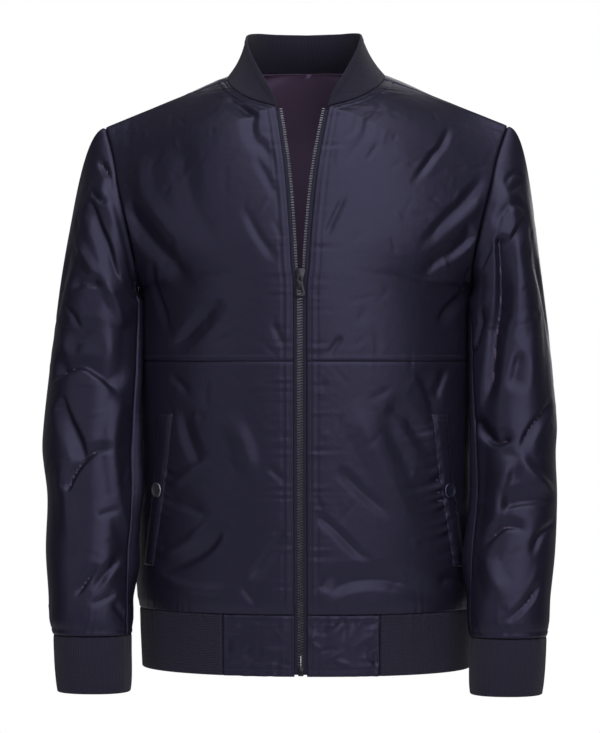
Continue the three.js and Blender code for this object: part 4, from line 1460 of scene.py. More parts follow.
RIGHT_FRONT_FOLDS = (
    Fold(((228, 94), (252, 126), (269, 152), (285, 178)), (7, 13), 2.6, ends=(0.1, 0.4)),
    Fold(((240, 100), (250, 112), (262, 124)), (5, 6), 1.4, ends=(0.1, 0.5)),
    Fold(((252, 150), (269, 180), (287, 212)), (5, 7), 1.8),
    Fold(((240, 200), (264, 242), (280, 264)), (5, 8), 2.4),
    Fold(((272, 218), (280, 232), (288, 246)), (4, 5), 2.0, ends=(0.4, 0.1)),
    Fold(((272, 320), (280, 336), (288, 352)), (4, 5), 2.0, ends=(0.4, 0.1)),
    Fold(((164, 138), (192, 204), (230, 258)), (20, 20), 2.6),
    Fold(((138, 150), (146, 200), (188, 262)), (16, 14), 2.6, R),
    Fold(((118, 206), (150, 240), (176, 268), (200, 286)), (14, 18), 6.0, ends=(0.1, 0.4)),
    Fold(((224, 300), (202, 318), (184, 336), (166, 348)), (16, 9), 5.0),
    Fold(((150, 256), (160, 300), (172, 342)), (5, 10), 3.0),
    Fold(((229, 410), (246, 452), (246, 482)), (12, 16), 3.2, R),
    Fold(((181, 402), (188, 440), (206, 476)), (14, 10), 3.0),
    Fold(((168, 374), (180, 384), (192, 396)), (6, 6), 2.0),
    Fold(((168, 486), (192, 470), (212, 458)), (7, 9), 2.2, R),
    Fold(((160, 498), (184, 504), (210, 516)), (13, 7), 3.0),
    Fold(((156, 558), (186, 542), (208, 522)), (7, 8), 2.6, R),
    Fold(((150, 572), (184, 564), (212, 544), (226, 520)), (14, 6), 4.4),
    Fold(((152, 568), (178, 584), (206, 590), (236, 588)), (7, 7), 2.6, R),
    Fold(((286, 530), (264, 560), (248, 582)), (12, 5), 3.6, ends=(0.1, 0.4)),
    Fold(((268, 466), (276, 474), (286, 482)), (4, 4), 1.6, ends=(0.4, 0.1)),
    Fold(((238, 580), (252, 598), (262, 612)), (5, 8), 2.6),
)
LEFT_SLEEVE_FOLDS = (
    Fold(
        ((-38, -236), (-44, -340), (-54, -440), (-62, -520), (-66, -600)),
        (24, 24), 7.5, R, INNER, ends=(0.06, 0.15),
    ),
    Fold(((494, 176), (518, 250), (530, 330), (528, 420)), (22, 28), 4.5, R, ends=(0.12, 0.3)),
    Fold(((504, 187), (509, 178), (516, 173), (526, 181)), (3.5, 3.5), 1.8),
    Fold(((525, 180), (516, 188), (507, 195)), (3.5, 4.5), 2.0),
    Fold(((496, 232), (504, 213), (518, 205), (530, 222)), (9, 4), 3.0),
    Fold(((526, 212), (516, 229), (507, 250)), (11, 4), 4.0),
    Fold(((501, 234), (499, 256), (496, 318), (489, 365), (484, 412)), (17, 5), 8.5, ends=(0.12, 0.2)),
    Fold(((516, 262), (518, 310), (513, 356)), (12, 12), 2.0, R),
    Fold(((521, 348), (515, 372), (508, 392)), (10, 5), 4.0, fan=2.2),
    Fold(((494, 240), (488, 254), (480, 272)), (3, 5), 2.0),
    Fold(((482, 296), (482, 332), (470, 362)), (4, 4), 2.4),
    Fold(((478, 416), (483, 432), (495, 442), (514, 438)), (14, 4.5), 7.0, ends=(0.2, 0.2)),
    Fold(((552, 398), (534, 424), (516, 453)), (10, 4), 5.0),
    Fold(((516, 450), (534, 473), (556, 500)), (8, 15), 3.6, R),
    Fold(((498, 508), (524, 503), (556, 499)), (19, 5), 5.5),
    Fold(((482, 550), (498, 531), (514, 527), (531, 535)), (11, 4.5), 5.0),
    Fold(((556, 521), (543, 535), (530, 559)), (4.5, 8), 3.5),
    Fold(((512, 454), (506, 472), (502, 496), (496, 524), (483, 548)), (7, 24), 5.0, R),
    Fold(((484, 546), (490, 568), (496, 585), (504, 604)), (13, 15), 3.6, R),
    Fold(((542, 579), (525, 604), (501, 627)), (4, 7), 3.0),
    Fold(((537, 592), (531, 600), (524, 608)), (3, 4), 1.6),
    Fold(((-50, -200), (-30, -260), (-24, -330)), (12, 16), 3.5, V, OUTER),
    Fold(((40, -240), (30, -300), (44, -360)), (16, 12), 4.0, V, OUTER),
    Fold(((52, -402), (14, -424), (-24, -436)), (14, 7), 4.0, V, OUTER),
    Fold(((26, -470), (-10, -468), (-40, -456)), (13, 7), 3.5, V, OUTER),
    Fold(((12, -540), (-20, -522), (-52, -530)), (12, 8), 3.0, V, OUTER),
    Fold(((-10, -596), (-40, -580), (-74, -596)), (10, 7), 2.6, V, OUTER),
    Fold(((40, -420), (0, -440), (-22, -420)), (14, 8), 4.5, V, INNER),
    Fold(((20, -500), (-20, -486), (-30, -504)), (14, 8), 4.0, V, INNER),
    Fold(((30, -330), (10, -380), (20, -410)), (12, 12), 3.5, V, INNER),
    Fold(((208, -200), (236, -260), (248, -330)), (12, 18), 5.0, V, BACK),
    Fold(((218, -396), (246, -418), (272, -402)), (8, 18), 5.5, V, BACK),
    Fold(((222, -452), (246, -436), (272, -450)), (9, 17), 5.0, V, BACK),
    Fold(((214, -520), (244, -500), (270, -520)), (8, 15), 4.0, V, BACK),
    Fold(((214, -600), (240, -580), (262, -596)), (8, 11), 3.2, V, BACK),
)
RIGHT_SLEEVE_FOLDS = (
    Fold(
        ((-36, -236), (-42, -340), (-54, -440), (-62, -520), (-66, -600)),
        (26, 26), 8.5, R, INNER, ends=(0.06, 0.15),
    ),
    Fold(((-30, -380), (-40, -420), (-52, -470), (-58, -520)), (26, 26), 4.0, R, INNER),
    Fold(
        ((100, 170), (111, 240), (109, 330), (106, 420), (109, 520), (107, 600)),
        (30, 34), 4.5, R, ends=(0.1, 0.1),
    ),
    Fold(((62, 350), (84, 341), (112, 352)), (26, 12), 4.5),
    Fold(((98, 158), (107, 171), (116, 190)), (5, 5), 3.0),
    Fold(((91, 190), (101, 201), (117, 202)), (4, 5), 2.4),
    Fold(((108, 176), (120, 204), (131, 246), (137, 292)), (4, 11), 4.5, ends=(0.2, 0.2)),
    Fold(((91, 198), (100, 226), (110, 252), (121, 290)), (4, 14), 6.0, ends=(0.2, 0.35)),
    Fold(((74, 234), (88, 262), (104, 282)), (9, 9), 2.6, R),
    Fold(((103, 270), (116, 306), (122, 342)), (20, 9), 4.4, R),
    Fold(((120, 388), (113, 425), (112, 465), (117, 505), (126, 552)), (20, 12), 4.6, R, ends=(0.15, 0.2)),
    Fold(((70, 290), (88, 283), (106, 286)), (10, 5), 3.0),
    Fold(((64, 302), (72, 315), (81, 330)), (4, 5), 2.2),
    Fold(((52, 378), (78, 367), (97, 375), (118, 395)), (28, 5), 8.0, ends=(0.15, 0.2)),
    Fold(((61, 396), (71, 420), (80, 440), (87, 461)), (4, 18), 7.0, ends=(0.12, 0.2)),
    Fold(((67, 492), (72, 476), (84, 461), (101, 450), (121, 457)), (11, 4), 5.0, ends=(0.1, 0.35)),
    Fold(((97, 518), (106, 514), (118, 509)), (5, 5), 1.8),
    Fold(((99, 565), (86, 582), (73, 601)), (4, 7), 4.0),
    Fold(((121, 555), (107, 573), (92, 592)), (5, 9), 4.5),
    Fold(((117, 590), (104, 598), (89, 606)), (4.5, 4.5), 2.6),
    Fold(((113, 602), (120, 612), (130, 626)), (7, 5), 3.0),
    Fold(((60, 452), (66, 500), (72, 560)), (14, 14), 2.0, R),
    Fold(((-50, -190), (-36, -250), (-30, -320)), (16, 12), 3.5, V, OUTER),
    Fold(((44, -220), (30, -290), (40, -350)), (12, 16), 4.0, V, OUTER),
    Fold(((54, -392), (12, -410), (-26, -400)), (7, 14), 4.0, V, OUTER),
    Fold(((30, -452), (-8, -436), (-40, -450)), (7, 13), 3.5, V, OUTER),
    Fold(((8, -520), (-24, -508), (-54, -526)), (8, 12), 3.0, V, OUTER),
    Fold(((-10, -590), (-40, -574), (-72, -590)), (7, 10), 2.6, V, OUTER),
    Fold(((44, -410), (4, -430), (-22, -416)), (8, 14), 4.5, V, INNER),
    Fold(((24, -490), (-20, -480), (-30, -494)), (8, 14), 4.0, V, INNER),
    Fold(((34, -320), (14, -370), (24, -400)), (12, 12), 3.5, V, INNER),
    Fold(((-206, -210), (-238, -270), (-250, -340)), (18, 12), 5.0, V, BACK),
    Fold(((-220, -404), (-248, -424), (-274, -408)), (18, 8), 5.5, V, BACK),
    Fold(((-224, -462), (-250, -444), (-276, -458)), (17, 9), 5.0, V, BACK),
    Fold(((-218, -530), (-248, -510), (-274, -528)), (15, 8), 4.0, V, BACK),
    Fold(((-220, -606), (-244, -586), (-268, -602)), (11, 8), 3.2, V, BACK),
)
BACK_FOLDS = (
    Fold(((-192, -168), (-150, -230), (-104, -306)), (9, 24), 5.0, V, BACK),
    Fold(((-186, -238), (-124, -320), (-56, -426)), (26, 18), 4.0, V, BACK),
    Fold(((-180, -398), (-128, -454), (-66, -522)), (12, 22), 4.0, V, BACK),
    Fold(((-156, -590), (-96, -572), (-36, -544)), (9, 18), 4.0, V, BACK),
    Fold(((-150, -120), (-120, -190), (-70, -250)), (18, 18), 2.6, R, BACK),
    Fold(((194, -148), (158, -204), (116, -274)), (22, 10), 4.6, V, BACK),
    Fold(((188, -230), (134, -300), (70, -384)), (18, 26), 4.6, V, BACK),
    Fold(((176, -418), (112, -452), (36, -488)), (20, 12), 4.0, V, BACK),
    Fold(((166, -592), (112, -576), (56, -554)), (16, 9), 4.0, V, BACK),
    Fold(((-90, -70), (-40, -92), (30, -84)), (18, 14), 2.2, V, BACK),
    Fold(((-30, -330), (-10, -420), (-26, -520)), (26, 26), 2.6, R, BACK),
)


def puckers(
    position: Array, distance: Array, pitch: float, reach: float, depth: float, seed: int
) -> Array:
    """Small gathers that a seam or a row of stitches draws into the cloth.

    Args:
        position: how far along the seam each place is.
        distance: how far from the seam.
        pitch: the gathers' mean spacing.
        reach: how far from the seam they die out.
        depth: how deep they are at the seam.
        seed: fixes their pattern.

    Returns:
        The move outwards in millimetres.
    """
    rng = np.random.default_rng(seed)
    wave = np.zeros_like(position)
    for size in (0.62, 0.83, 1.0, 1.31, 1.9):
        wave += rng.uniform(0.5, 1) * np.sin(2 * math.pi * (position / (pitch * size) + rng.uniform()))
    slow = 0.55 + 0.45 * np.sin(2 * math.pi * (position / (pitch * 6.3) + rng.uniform()))
    return depth / 2.4 * wave * slow * np.exp(-distance / reach)


def seam_edge(distance: Array, band: float = 0.0) -> Array:
    """How a cloth dips into a seam, and, where band is over 0, the raised strip up to its row of stitches.

    Args:
        distance: how far each place lies from the seam, in millimetres.
        band: how wide the raised strip is.

    Returns:
        The depth at every place.
    """
    dip = -0.75 * np.exp(-((distance / 1.5) ** 2))
    if band:
        dip = dip + 0.35 * (1 - ramp(distance - band + 1.6, 1.6)) - 0.45 * bump(distance, band, 1.1)
    return dip


@dataclass
class Front:
    """One half of the jacket's front, cut across the chest into a lower and an upper panel."""

    side: int
    hand: str
    finishes: Finishes
    stitches: StitchTree
    folds: tuple[Fold, ...]
    zip_rows: tuple[float, float] = (4.5, 11.0)
    yoke_stitch: float = 6.0
    pocket_gathers: tuple[float, float] = (8.0, 1.8)
    strip: float = 7.0

    def __post_init__(self) -> None:
        """Makes the whole cloth and presses its folds and seams into it."""
        steps = even_keys(lambda k: front_place(0.5, k), (0, YOKE_STEP, SHOULDER_STEP), CLOTH_STEP)
        across = even_keys(lambda k: front_place(k, 25.0), (0, 1), CLOTH_STEP)
        across = np.unique(np.concatenate([across, [0.004, 0.985]]))
        places = mirrored(front_place(across[None, :], steps[:, None]), self.side)
        self.cloth = Cloth(steps, across, places, self.side)
        self.yoke_row = int(np.argmin(np.abs(steps - YOKE_STEP)))
        self.press()

    def press(self) -> None:
        """Presses in the folds, small wrinkles, puckers and seams."""
        cloth = self.cloth
        inner, low = cloth.across, cloth.along
        outer = cloth.across[:, -1:] - cloth.across
        high = cloth.along[-1:] - cloth.along
        yoke = cloth.along - cloth.along[self.yoke_row]
        depth = cloth.folded(self.folds)
        depth += cloth.crumpled(120, 60 * self.side, 34, (0.2, 0.7), SEED + self.side)
        calm = ramp(inner - 4, 16) * ramp(outer, 14) * ramp(high, 16)
        depth *= calm * ramp(low + 4, 18) * (0.35 + 0.65 * ramp(np.abs(yoke), 12))
        depth += puckers(low, np.abs(inner - self.zip_rows[1]), 9, 11, 0.8, 11 + self.side)
        depth += puckers(inner, low, 8, 13, 0.7, 21 + self.side) * ramp(inner, 10)
        depth += puckers(inner, np.abs(yoke), 10, 9, 0.3, 31 + self.side) * ramp(inner, 14)
        depth += puckers(low, outer, 12, 12, 0.4, 41 + self.side) * ramp(outer, 4)
        depth += seam_edge(low) + seam_edge(outer) + seam_edge(high)
        first, second = self.zip_rows
        depth += seam_edge(inner) - 0.7 * bump(inner, first, 1.1) - 0.75 * bump(inner, second, 1.2)
        depth += 0.25 * bump(inner, (first + second) / 2, 2.2)
        depth += np.where(yoke >= 0, seam_edge(np.abs(yoke), self.yoke_stitch), seam_edge(np.abs(yoke)))
        depth += self.pocket_puckers()
        cloth.press(depth)

    def pocket_puckers(self) -> Array:
        """The gathers along the inner edge of the pocket's welt, strongest on the wearer's left.

        Returns:
            Their depth at every place.
        """
        cloth, steps = self.cloth, self.cloth.row_keys
        keys = np.interp(steps, WELT_STEPS, (WELT_LOW[0], WELT_HIGH[0]))
        edge = np.array([np.interp(k, cloth.column_keys, way) for k, way in zip(keys, cloth.across)])
        away = edge[:, None] - cloth.across
        reach = ramp(steps - WELT_STEPS[0], 3) * ramp(WELT_STEPS[1] - steps, 3)
        depth = self.pocket_gathers[0] if self.side > 0 else self.pocket_gathers[1]
        gathers = puckers(cloth.along + 0.2 * away, np.abs(away), 16, 13, depth, 171 + self.side)
        return gathers * reach[:, None] * ramp(away + 3, 3)

    def beside(self, distance: float, low: int, high: int) -> Line:
        """A line up the cloth at a distance from the zip edge, between two rows.

        Args:
            distance: how far from the edge, in millimetres.
            low: its first row.
            high: its last row.

        Returns:
            The places and their outward directions.
        """
        rows = np.arange(low, high + 1)
        counted = np.arange(self.cloth.across.shape[1])
        columns = np.array([np.interp(distance, self.cloth.across[r], counted) for r in rows])
        return self.cloth.above(rows.astype(float), columns)

    def level(self, distance: float, row: int, first: float, last: float) -> Line:
        """A line across the cloth at a distance above a row, from first to last millimetre from the zip.

        Args:
            distance: how far above the row, in millimetres.
            row: the row.
            first: where the line starts.
            last: where it ends.

        Returns:
            The places and their outward directions.
        """
        cloth = self.cloth
        columns = np.nonzero((cloth.across[row] >= first) & (cloth.across[row] <= last))[0]
        return cloth.above(cloth.rows_from(row, columns, distance), columns.astype(float))

    def build(self) -> None:
        """Makes both panels and their stitches."""
        last, end = self.cloth.spots.shape[0] - 1, self.cloth.spots.shape[1] - 1
        for part, rows in (("lower", (0, self.yoke_row)), ("upper", (self.yoke_row, last))):
            panel = self.cloth.piece(rows, (0, end))
            if part == "lower":
                panel.trim("low start").tuck("high end", 1.5, 1.2)
            else:
                panel.trim("high start end")
            node = f"front_{self.hand}_{part}"
            finish = self.finishes.nylon, self.finishes.lining
            made = shell(f"{node}_cloth", panel, SHELL, finish, turned_in=seam_allowance(panel, 10))
            dressed(made, "nylon", node)
            as_sheet(made, panel)
        top = int(np.interp(ZIP_TOP_STEP, self.cloth.row_keys, np.arange(last + 1)))
        lines = [self.beside(d, 2, top) for d in self.zip_rows]
        wide = float(self.cloth.across[self.yoke_row, -1])
        lines.append(self.level(self.yoke_stitch, self.yoke_row, 12, wide - 1))
        rows = self.stitches.run(f"front_{self.hand}_stitches", lines, self.finishes.thread)
        dressed(rows, "nylon")


def both_halves(stops: tuple[float, ...], level: float, reach: float, spacing: float) -> Cloth:
    """A grid over both halves of the back. Its two middle columns coincide up to the neck and then part.

    Args:
        stops: the steps where rows begin, must stand and end.
        level: the step along which the columns are spaced.
        reach: how far across the back it goes, 1 being the side seams.
        spacing: the distance between rows and columns, in millimetres.

    Returns:
        The grid.
    """
    steps = even_keys(lambda k: back_place(0.5, k), stops, spacing)
    half = even_keys(lambda k: back_place(k, level), (0, reach), spacing)
    left = back_place(half[None, :], steps[:, None])
    places = np.concatenate([mirrored(left, -1)[:, ::-1], left], 1)
    keys = np.concatenate([-half[::-1] - 1e-6, half])
    neck = int(np.argmin(np.abs(steps - BACK_NECK_STEP)))
    return Cloth(steps, keys, places, -1, parting=(neck, len(half) - 1))


def two_halves(
    name: str,
    cloth: Cloth,
    thickness: float,
    materials: tuple[Material, ...],
    lift: float = 0.0,
    trimmed: bool = False,
) -> tuple[Object, float]:
    """Gives a grid over both halves its wall, in one piece that parts at the neck.

    Args:
        name: the object's name.
        cloth: the grid, from both_halves.
        thickness: the wall, in millimetres.
        materials: the outer face's material, then the inner face's.
        lift: how far the outer face stands off the grid.
        trimmed: whether its edges are drawn in and turned in to seams.

    Returns:
        The object, and the area that it was cut to in square metres.
    """
    neck, middle = cloth.parting
    for values in (cloth.spots, cloth.outs):
        values[: neck + 1, middle] = values[: neck + 1, middle + 1]
    last, end = len(cloth.row_keys) - 1, cloth.spots.shape[1] - 1
    halves, area = [], 0.0
    for columns, outer, joined in (((0, middle), "start", (0, neck)), ((middle + 1, end), "end", (neck, 0))):
        half = cloth.piece((0, last), columns)
        turned = 0.0
        if trimmed:
            half.trim(f"low high {outer}")
            turned = seam_allowance(half)
            turned[1:-1, -1 if outer == "start" else 0] = 0
        halves.append(shell(name, half, thickness, materials, lift, turned, joined))
        area += half.cut()[1]
    return joined_halves(name, halves), area


@dataclass
class Back:
    """The back, in one piece."""

    finishes: Finishes
    stitches: StitchTree
    fold_gain: float = 1.6

    def build(self) -> None:
        """Makes the back with its folds."""
        stops = (0, BACK_NECK_STEP, SHOULDER_STEP)
        cloth = both_halves(stops, 25.0, 1.0, BACK_STEP)
        middle = cloth.parting[1]
        outer = np.minimum(cloth.across, cloth.across[:, -1:] - cloth.across)
        low, high = cloth.along, cloth.along[-1:] - cloth.along
        centre = np.abs(cloth.across - cloth.across[:, [middle]])
        depth = self.fold_gain * cloth.folded(BACK_FOLDS) + cloth.crumpled(200, 90, 50, (0.3, 0.9), SEED + 5)
        depth *= ramp(outer, 16) * ramp(low + 4, 18) * ramp(high, 16)
        depth += puckers(centre, low, 8, 13, 0.7, 61) + puckers(low, outer, 12, 12, 0.4, 62) * ramp(outer, 4)
        depth += seam_edge(low) + seam_edge(outer) + seam_edge(high, 5.0)
        cloth.press(depth)
        self.cloth = cloth
        finish = self.finishes.nylon, self.finishes.lining
        made, area = two_halves("back_cloth", cloth, SHELL, finish, trimmed=True)
        dressed(made, "nylon", "back")
        as_sheet(made, cloth, area)
        self.sew(middle)

    def sew(self, middle: int) -> None:
        """Sews the shoulder seams with a row of stitches.

        Args:
            middle: the column at the middle of the back.
        """
        lines = []
        for first, last in ((2, middle - 2), (middle + 3, self.cloth.spots.shape[1] - 3)):
            columns = np.arange(first, last, dtype=float)
            top = len(self.cloth.row_keys) - 1
            rows = self.cloth.rows_from(top, columns.astype(int), -5.0)
            lines.append(self.cloth.above(rows, columns))
        dressed(self.stitches.run("shoulder_stitches", lines, self.finishes.thread), "nylon")


@dataclass
class Sleeve:
    """One sleeve, cut into a top and an under piece, its wrinkles stacked at the elbow."""

    side: int
    hand: str
    finishes: Finishes
    stitches: StitchTree
    folds: tuple[Fold, ...]
    hem_strip: float = 7.0
    fold_gain: float = 1.2

    def build(self) -> None:
        """Makes both pieces and their stitches."""
        downs = even_keys(lambda k: sleeve_place(self.side, 180.0, k), (0, CAP_SHARE, 1), CLOTH_STEP)[::-1]
        stops = (0, BODY_SEAM_ANGLE, ELBOW_SEAM_ANGLE, 360)
        angles = even_keys(lambda k: sleeve_place(self.side, k, 0.6), stops, CLOTH_STEP)[:-1]
        places = mirrored(sleeve_place(self.side, angles[None, :], downs[:, None]), self.side)
        cloth = Cloth(1 - downs, angles, places, self.side, closed=True)
        low, high = cloth.along, cloth.along[-1:] - cloth.along
        seams = [int(np.argmin(np.abs(angles - a))) for a in (BODY_SEAM_ANGLE, ELBOW_SEAM_ANGLE)]
        near = [np.abs(cloth.across - cloth.across[:, [c]]) for c in seams]
        seam = np.minimum(*near)
        depth = self.fold_gain * cloth.folded(self.folds)
        depth += cloth.crumpled(150, 20 * self.side, 45, (0.3, 0.9), SEED + 10 + self.side)
        depth *= ramp(low, 16) * ramp(high, 14) * (0.55 + 0.45 * ramp(seam, 8))
        depth += puckers(cloth.across, low, 9, 22, 1.1, 71 + self.side) * ramp(low, 6)
        depth += puckers(cloth.across, high, 11, 12, 0.5, 81 + self.side) * ramp(high, 5)
        depth += puckers(low, seam, 13, 12, 0.45, 91 + self.side) * ramp(seam, 3)
        depth += seam_edge(low, self.hem_strip) + seam_edge(high) + seam_edge(seam)
        cloth.press(depth)
        self.cloth = cloth
        count = len(angles)
        for part, columns in (("top", (seams[0], seams[1])), ("under", (seams[1], seams[0] + count))):
            panel = cloth.piece((0, len(downs) - 1), columns).trim("low start end").tuck("high")
            node = f"sleeve_{self.hand}_{part}"
            finish = self.finishes.nylon, self.finishes.lining
            made = shell(f"{node}_cloth", panel, SHELL, finish, turned_in=seam_allowance(panel))
            dressed(made, "nylon", node)
            as_sheet(made, panel)
        columns = np.arange(count + 1, dtype=float)
        rows = cloth.rows_from(0, columns.astype(int) % count, self.hem_strip)
        line = cloth.above(rows, columns)
        stitched = self.stitches.run(f"sleeve_{self.hand}_stitches", [line], self.finishes.thread)
        dressed(stitched, "nylon")


@dataclass
class Cuff:
    """A doubled rib cuff, folded at its lower edge."""

    side: int
    hand: str
    finishes: Finishes

    def build(self) -> None:
        """Makes the cuff."""
        heights = np.linspace(CUFF_END_Z + RIB / 2, CUFF_TOP_Z, 28)
        angles = even_keys(lambda k: on_ring(CUFF, self.side, np.full_like(k, -660.0), k), (0, 360), RIB_STEP)
        angles = angles[:-1]
        tall, round_it = np.meshgrid(heights, angles, indexing="ij")
        places = mirrored(on_ring(CUFF, self.side, tall, round_it), self.side)
        cloth = Cloth(heights, angles, places, self.side, closed=True)
        up = cloth.along / cloth.along[-1:]
        from_seam = cloth.along[-1:] - cloth.along
        depth = puckers(cloth.across, from_seam, 14, 16, 0.8, 101 + self.side)
        depth += 0.8 * np.sin(math.pi * up) - 0.6 * (1 - ramp(from_seam, 3))
        cloth.press(depth)
        made = folded_band(
            f"cuff_{self.hand}_knit", cloth, RIB, self.finishes.rib, edge_up=False, closed=True
        )
        dressed(made, "rib_knit", f"cuff_{self.hand}")
        as_sheet(made, cloth)


@dataclass
class Collar:
    """The doubled rib collar. It stands on the neckline and thins to nothing at the zip."""

    finishes: Finishes

    def build(self) -> None:
        """Makes the collar."""
        half = even_keys(lambda k: collar_place(1, k, np.full_like(k, 0.5)), (0, 1), 2.0)
        ups = np.linspace(-0.03, 0.975, 30)
        left = collar_place(1, half[None, :], ups[:, None])
        right = mirrored(collar_place(-1, half[None, :], ups[:, None]), -1)
        places = np.concatenate([right[:, :0:-1], left], 1)
        keys = np.concatenate([-half[:0:-1], half])
        cloth = Cloth(ups, keys, places, -1)
        up = cloth.along / np.maximum(cloth.along[-1:], 1e-6)
        tall = cloth.along[-1]
        from_top = cloth.along[-1:] - cloth.along
        fold_line = 0.35 * bump(from_top, 4.5, 2.2) - 0.3 * bump(from_top, 8, 1.5)
        wavy = puckers(cloth.across, cloth.along, 17, 14, 0.5, 111)
        depth = fold_line + wavy * ramp(up, 0.25) - 0.5 * (1 - ramp(cloth.along, 2.5))
        cloth.press(depth * ramp(tall, 20)[None])
        made = folded_band("collar_knit", cloth, RIB, self.finishes.rib, edge_up=True, closed=False)
        dressed(made, "rib_knit", "collar")
        as_sheet(made, cloth)


@dataclass
class HemBand:
    """The band round the hem: rib with a nylon stretch on each side of the zip."""

    finishes: Finishes
    stitches: StitchTree

    def rib_start(self) -> float:
        """Where across the front the rib begins."""
        across = np.linspace(0, 1, 2001)
        return float(np.interp(HEM_FRONT_X, front_place(across, 0.0)[:, 0], across))

    def build(self) -> None:
        """Makes the rib and both nylon stretches."""
        start = self.rib_start()
        lift = RIB / 2 * 10 / 68
        steps = np.linspace(BAND_STEP + lift, 0, 30)
        front = even_keys(lambda k: front_place(k, -5.0), (start, 1), RIB_STEP)
        back = even_keys(lambda k: back_place(k, -5.0), (0, 1), RIB_STEP)
        half = np.concatenate(
            [front_place(front[None, :], steps[:, None]), back_place(back[::-1][None, 1:], steps[:, None])], 1
        )
        places = np.concatenate([half, mirrored(half, -1)[:, -2::-1]], 1)
        cloth = Cloth(steps, np.arange(places.shape[1]), places, 1)
        ends = np.minimum(cloth.across, cloth.across[:, -1:] - cloth.across)
        from_top = cloth.along[-1:] - cloth.along
        depth = puckers(cloth.across, from_top, 15, 30, 1.0, 121) * ramp(ends, 12)
        cloth.press(depth - 0.6 * (1 - ramp(from_top, 3)) - 0.5 * (1 - ramp(ends, 3)))
        cloth.tuck("high", 1.4, 1.0).tuck("start end")
        made = folded_band("hem_rib_knit", cloth, RIB, self.finishes.band, edge_up=False, closed=False)
        dressed(made, "rib_knit", "hem_rib")
        as_sheet(made, cloth)
        for side, hand in ((1, "left"), (-1, "right")):
            self.build_front(side, hand, start)

    def build_front(self, side: int, hand: str, start: float) -> None:
        """Makes the nylon stretch on one side, with its stitches.

        Args:
            side: 1 on the wearer's left, -1 on the right.
            hand: left or right.
            start: where the rib ends and the stretch begins.
        """
        steps = np.linspace(BAND_STEP + SHELL / 2 * 10 / 68, 0, 34)
        across = even_keys(lambda k: front_place(k, -5.0), (0, start), 2.0)
        cloth = Cloth(steps, across, mirrored(front_place(across[None, :], steps[:, None]), side), side)
        from_top = cloth.along[-1:] - cloth.along
        from_rib = cloth.across[:, -1:] - cloth.across
        depth = puckers(cloth.across, np.abs(from_top - 7), 17, 18, 1.2, 131 + side)
        depth += puckers(cloth.across, cloth.along, 15, 12, 0.7, 141 + side)
        depth += puckers(cloth.along, np.abs(from_rib - 5), 8, 10, 1.0, 151 + side)
        depth += cloth.crumpled(30, 40 * side, 30, (0.5, 1.6), SEED + 20 + side)
        depth *= ramp(from_rib, 4) * ramp(cloth.across, 6)
        depth += seam_edge(from_top, 7.0) + seam_edge(from_rib, 5.0) - 0.3 * bump(cloth.along, 6, 1.2)
        depth += -0.4 * bump(cloth.across, 4.5, 1.1) - 0.4 * bump(cloth.across, 11, 1.2)
        cloth.press(depth)
        cloth.trim("end").tuck("high", 1.4, 1.0)
        made = folded_band(
            f"hem_front_{hand}_cloth", cloth, SHELL, self.finishes.nylon, edge_up=False, closed=False
        )
        dressed(made, "nylon", f"hem_front_{hand}")
        as_sheet(made, cloth)
        self.sew_front(cloth, hand)

    def sew_front(self, cloth: Cloth, hand: str) -> None:
        """Sews the nylon stretch: rows beside the zip, the rib, the hem and its top seam.

        Args:
            cloth: the stretch.
            hand: left or right.
        """
        rows, columns = (np.arange(n, dtype=float) for n in cloth.spots.shape[:2])
        zip_side = [np.full_like(rows, np.interp(d, cloth.across[10], columns)) for d in (4.5, 11.0)]
        rib_side = np.full_like(rows, np.interp(cloth.across[10, -1] - 5, cloth.across[10], columns))
        heights = (6.0, cloth.along[-1, 5] - 7)
        level = [np.full_like(columns, np.interp(d, cloth.along[:, 5], rows)) for d in heights]
        lines = []
        for r, c in [(rows, k) for k in (*zip_side, rib_side)] + [(k, columns) for k in level]:
            lines.append(cloth.above(r, c))
        dressed(self.stitches.run(f"hem_front_{hand}_stitches", lines, self.finishes.thread), "nylon")


def edge_place(away: Array, step: Array) -> Array:
    """Places beside the left front's edge, away millimetres from it, where minus is towards the middle."""
    reach = FRONT_REACH.at(step)[..., :3]
    return front_place(away / (3 * np.linalg.norm(reach, axis=-1)), step)


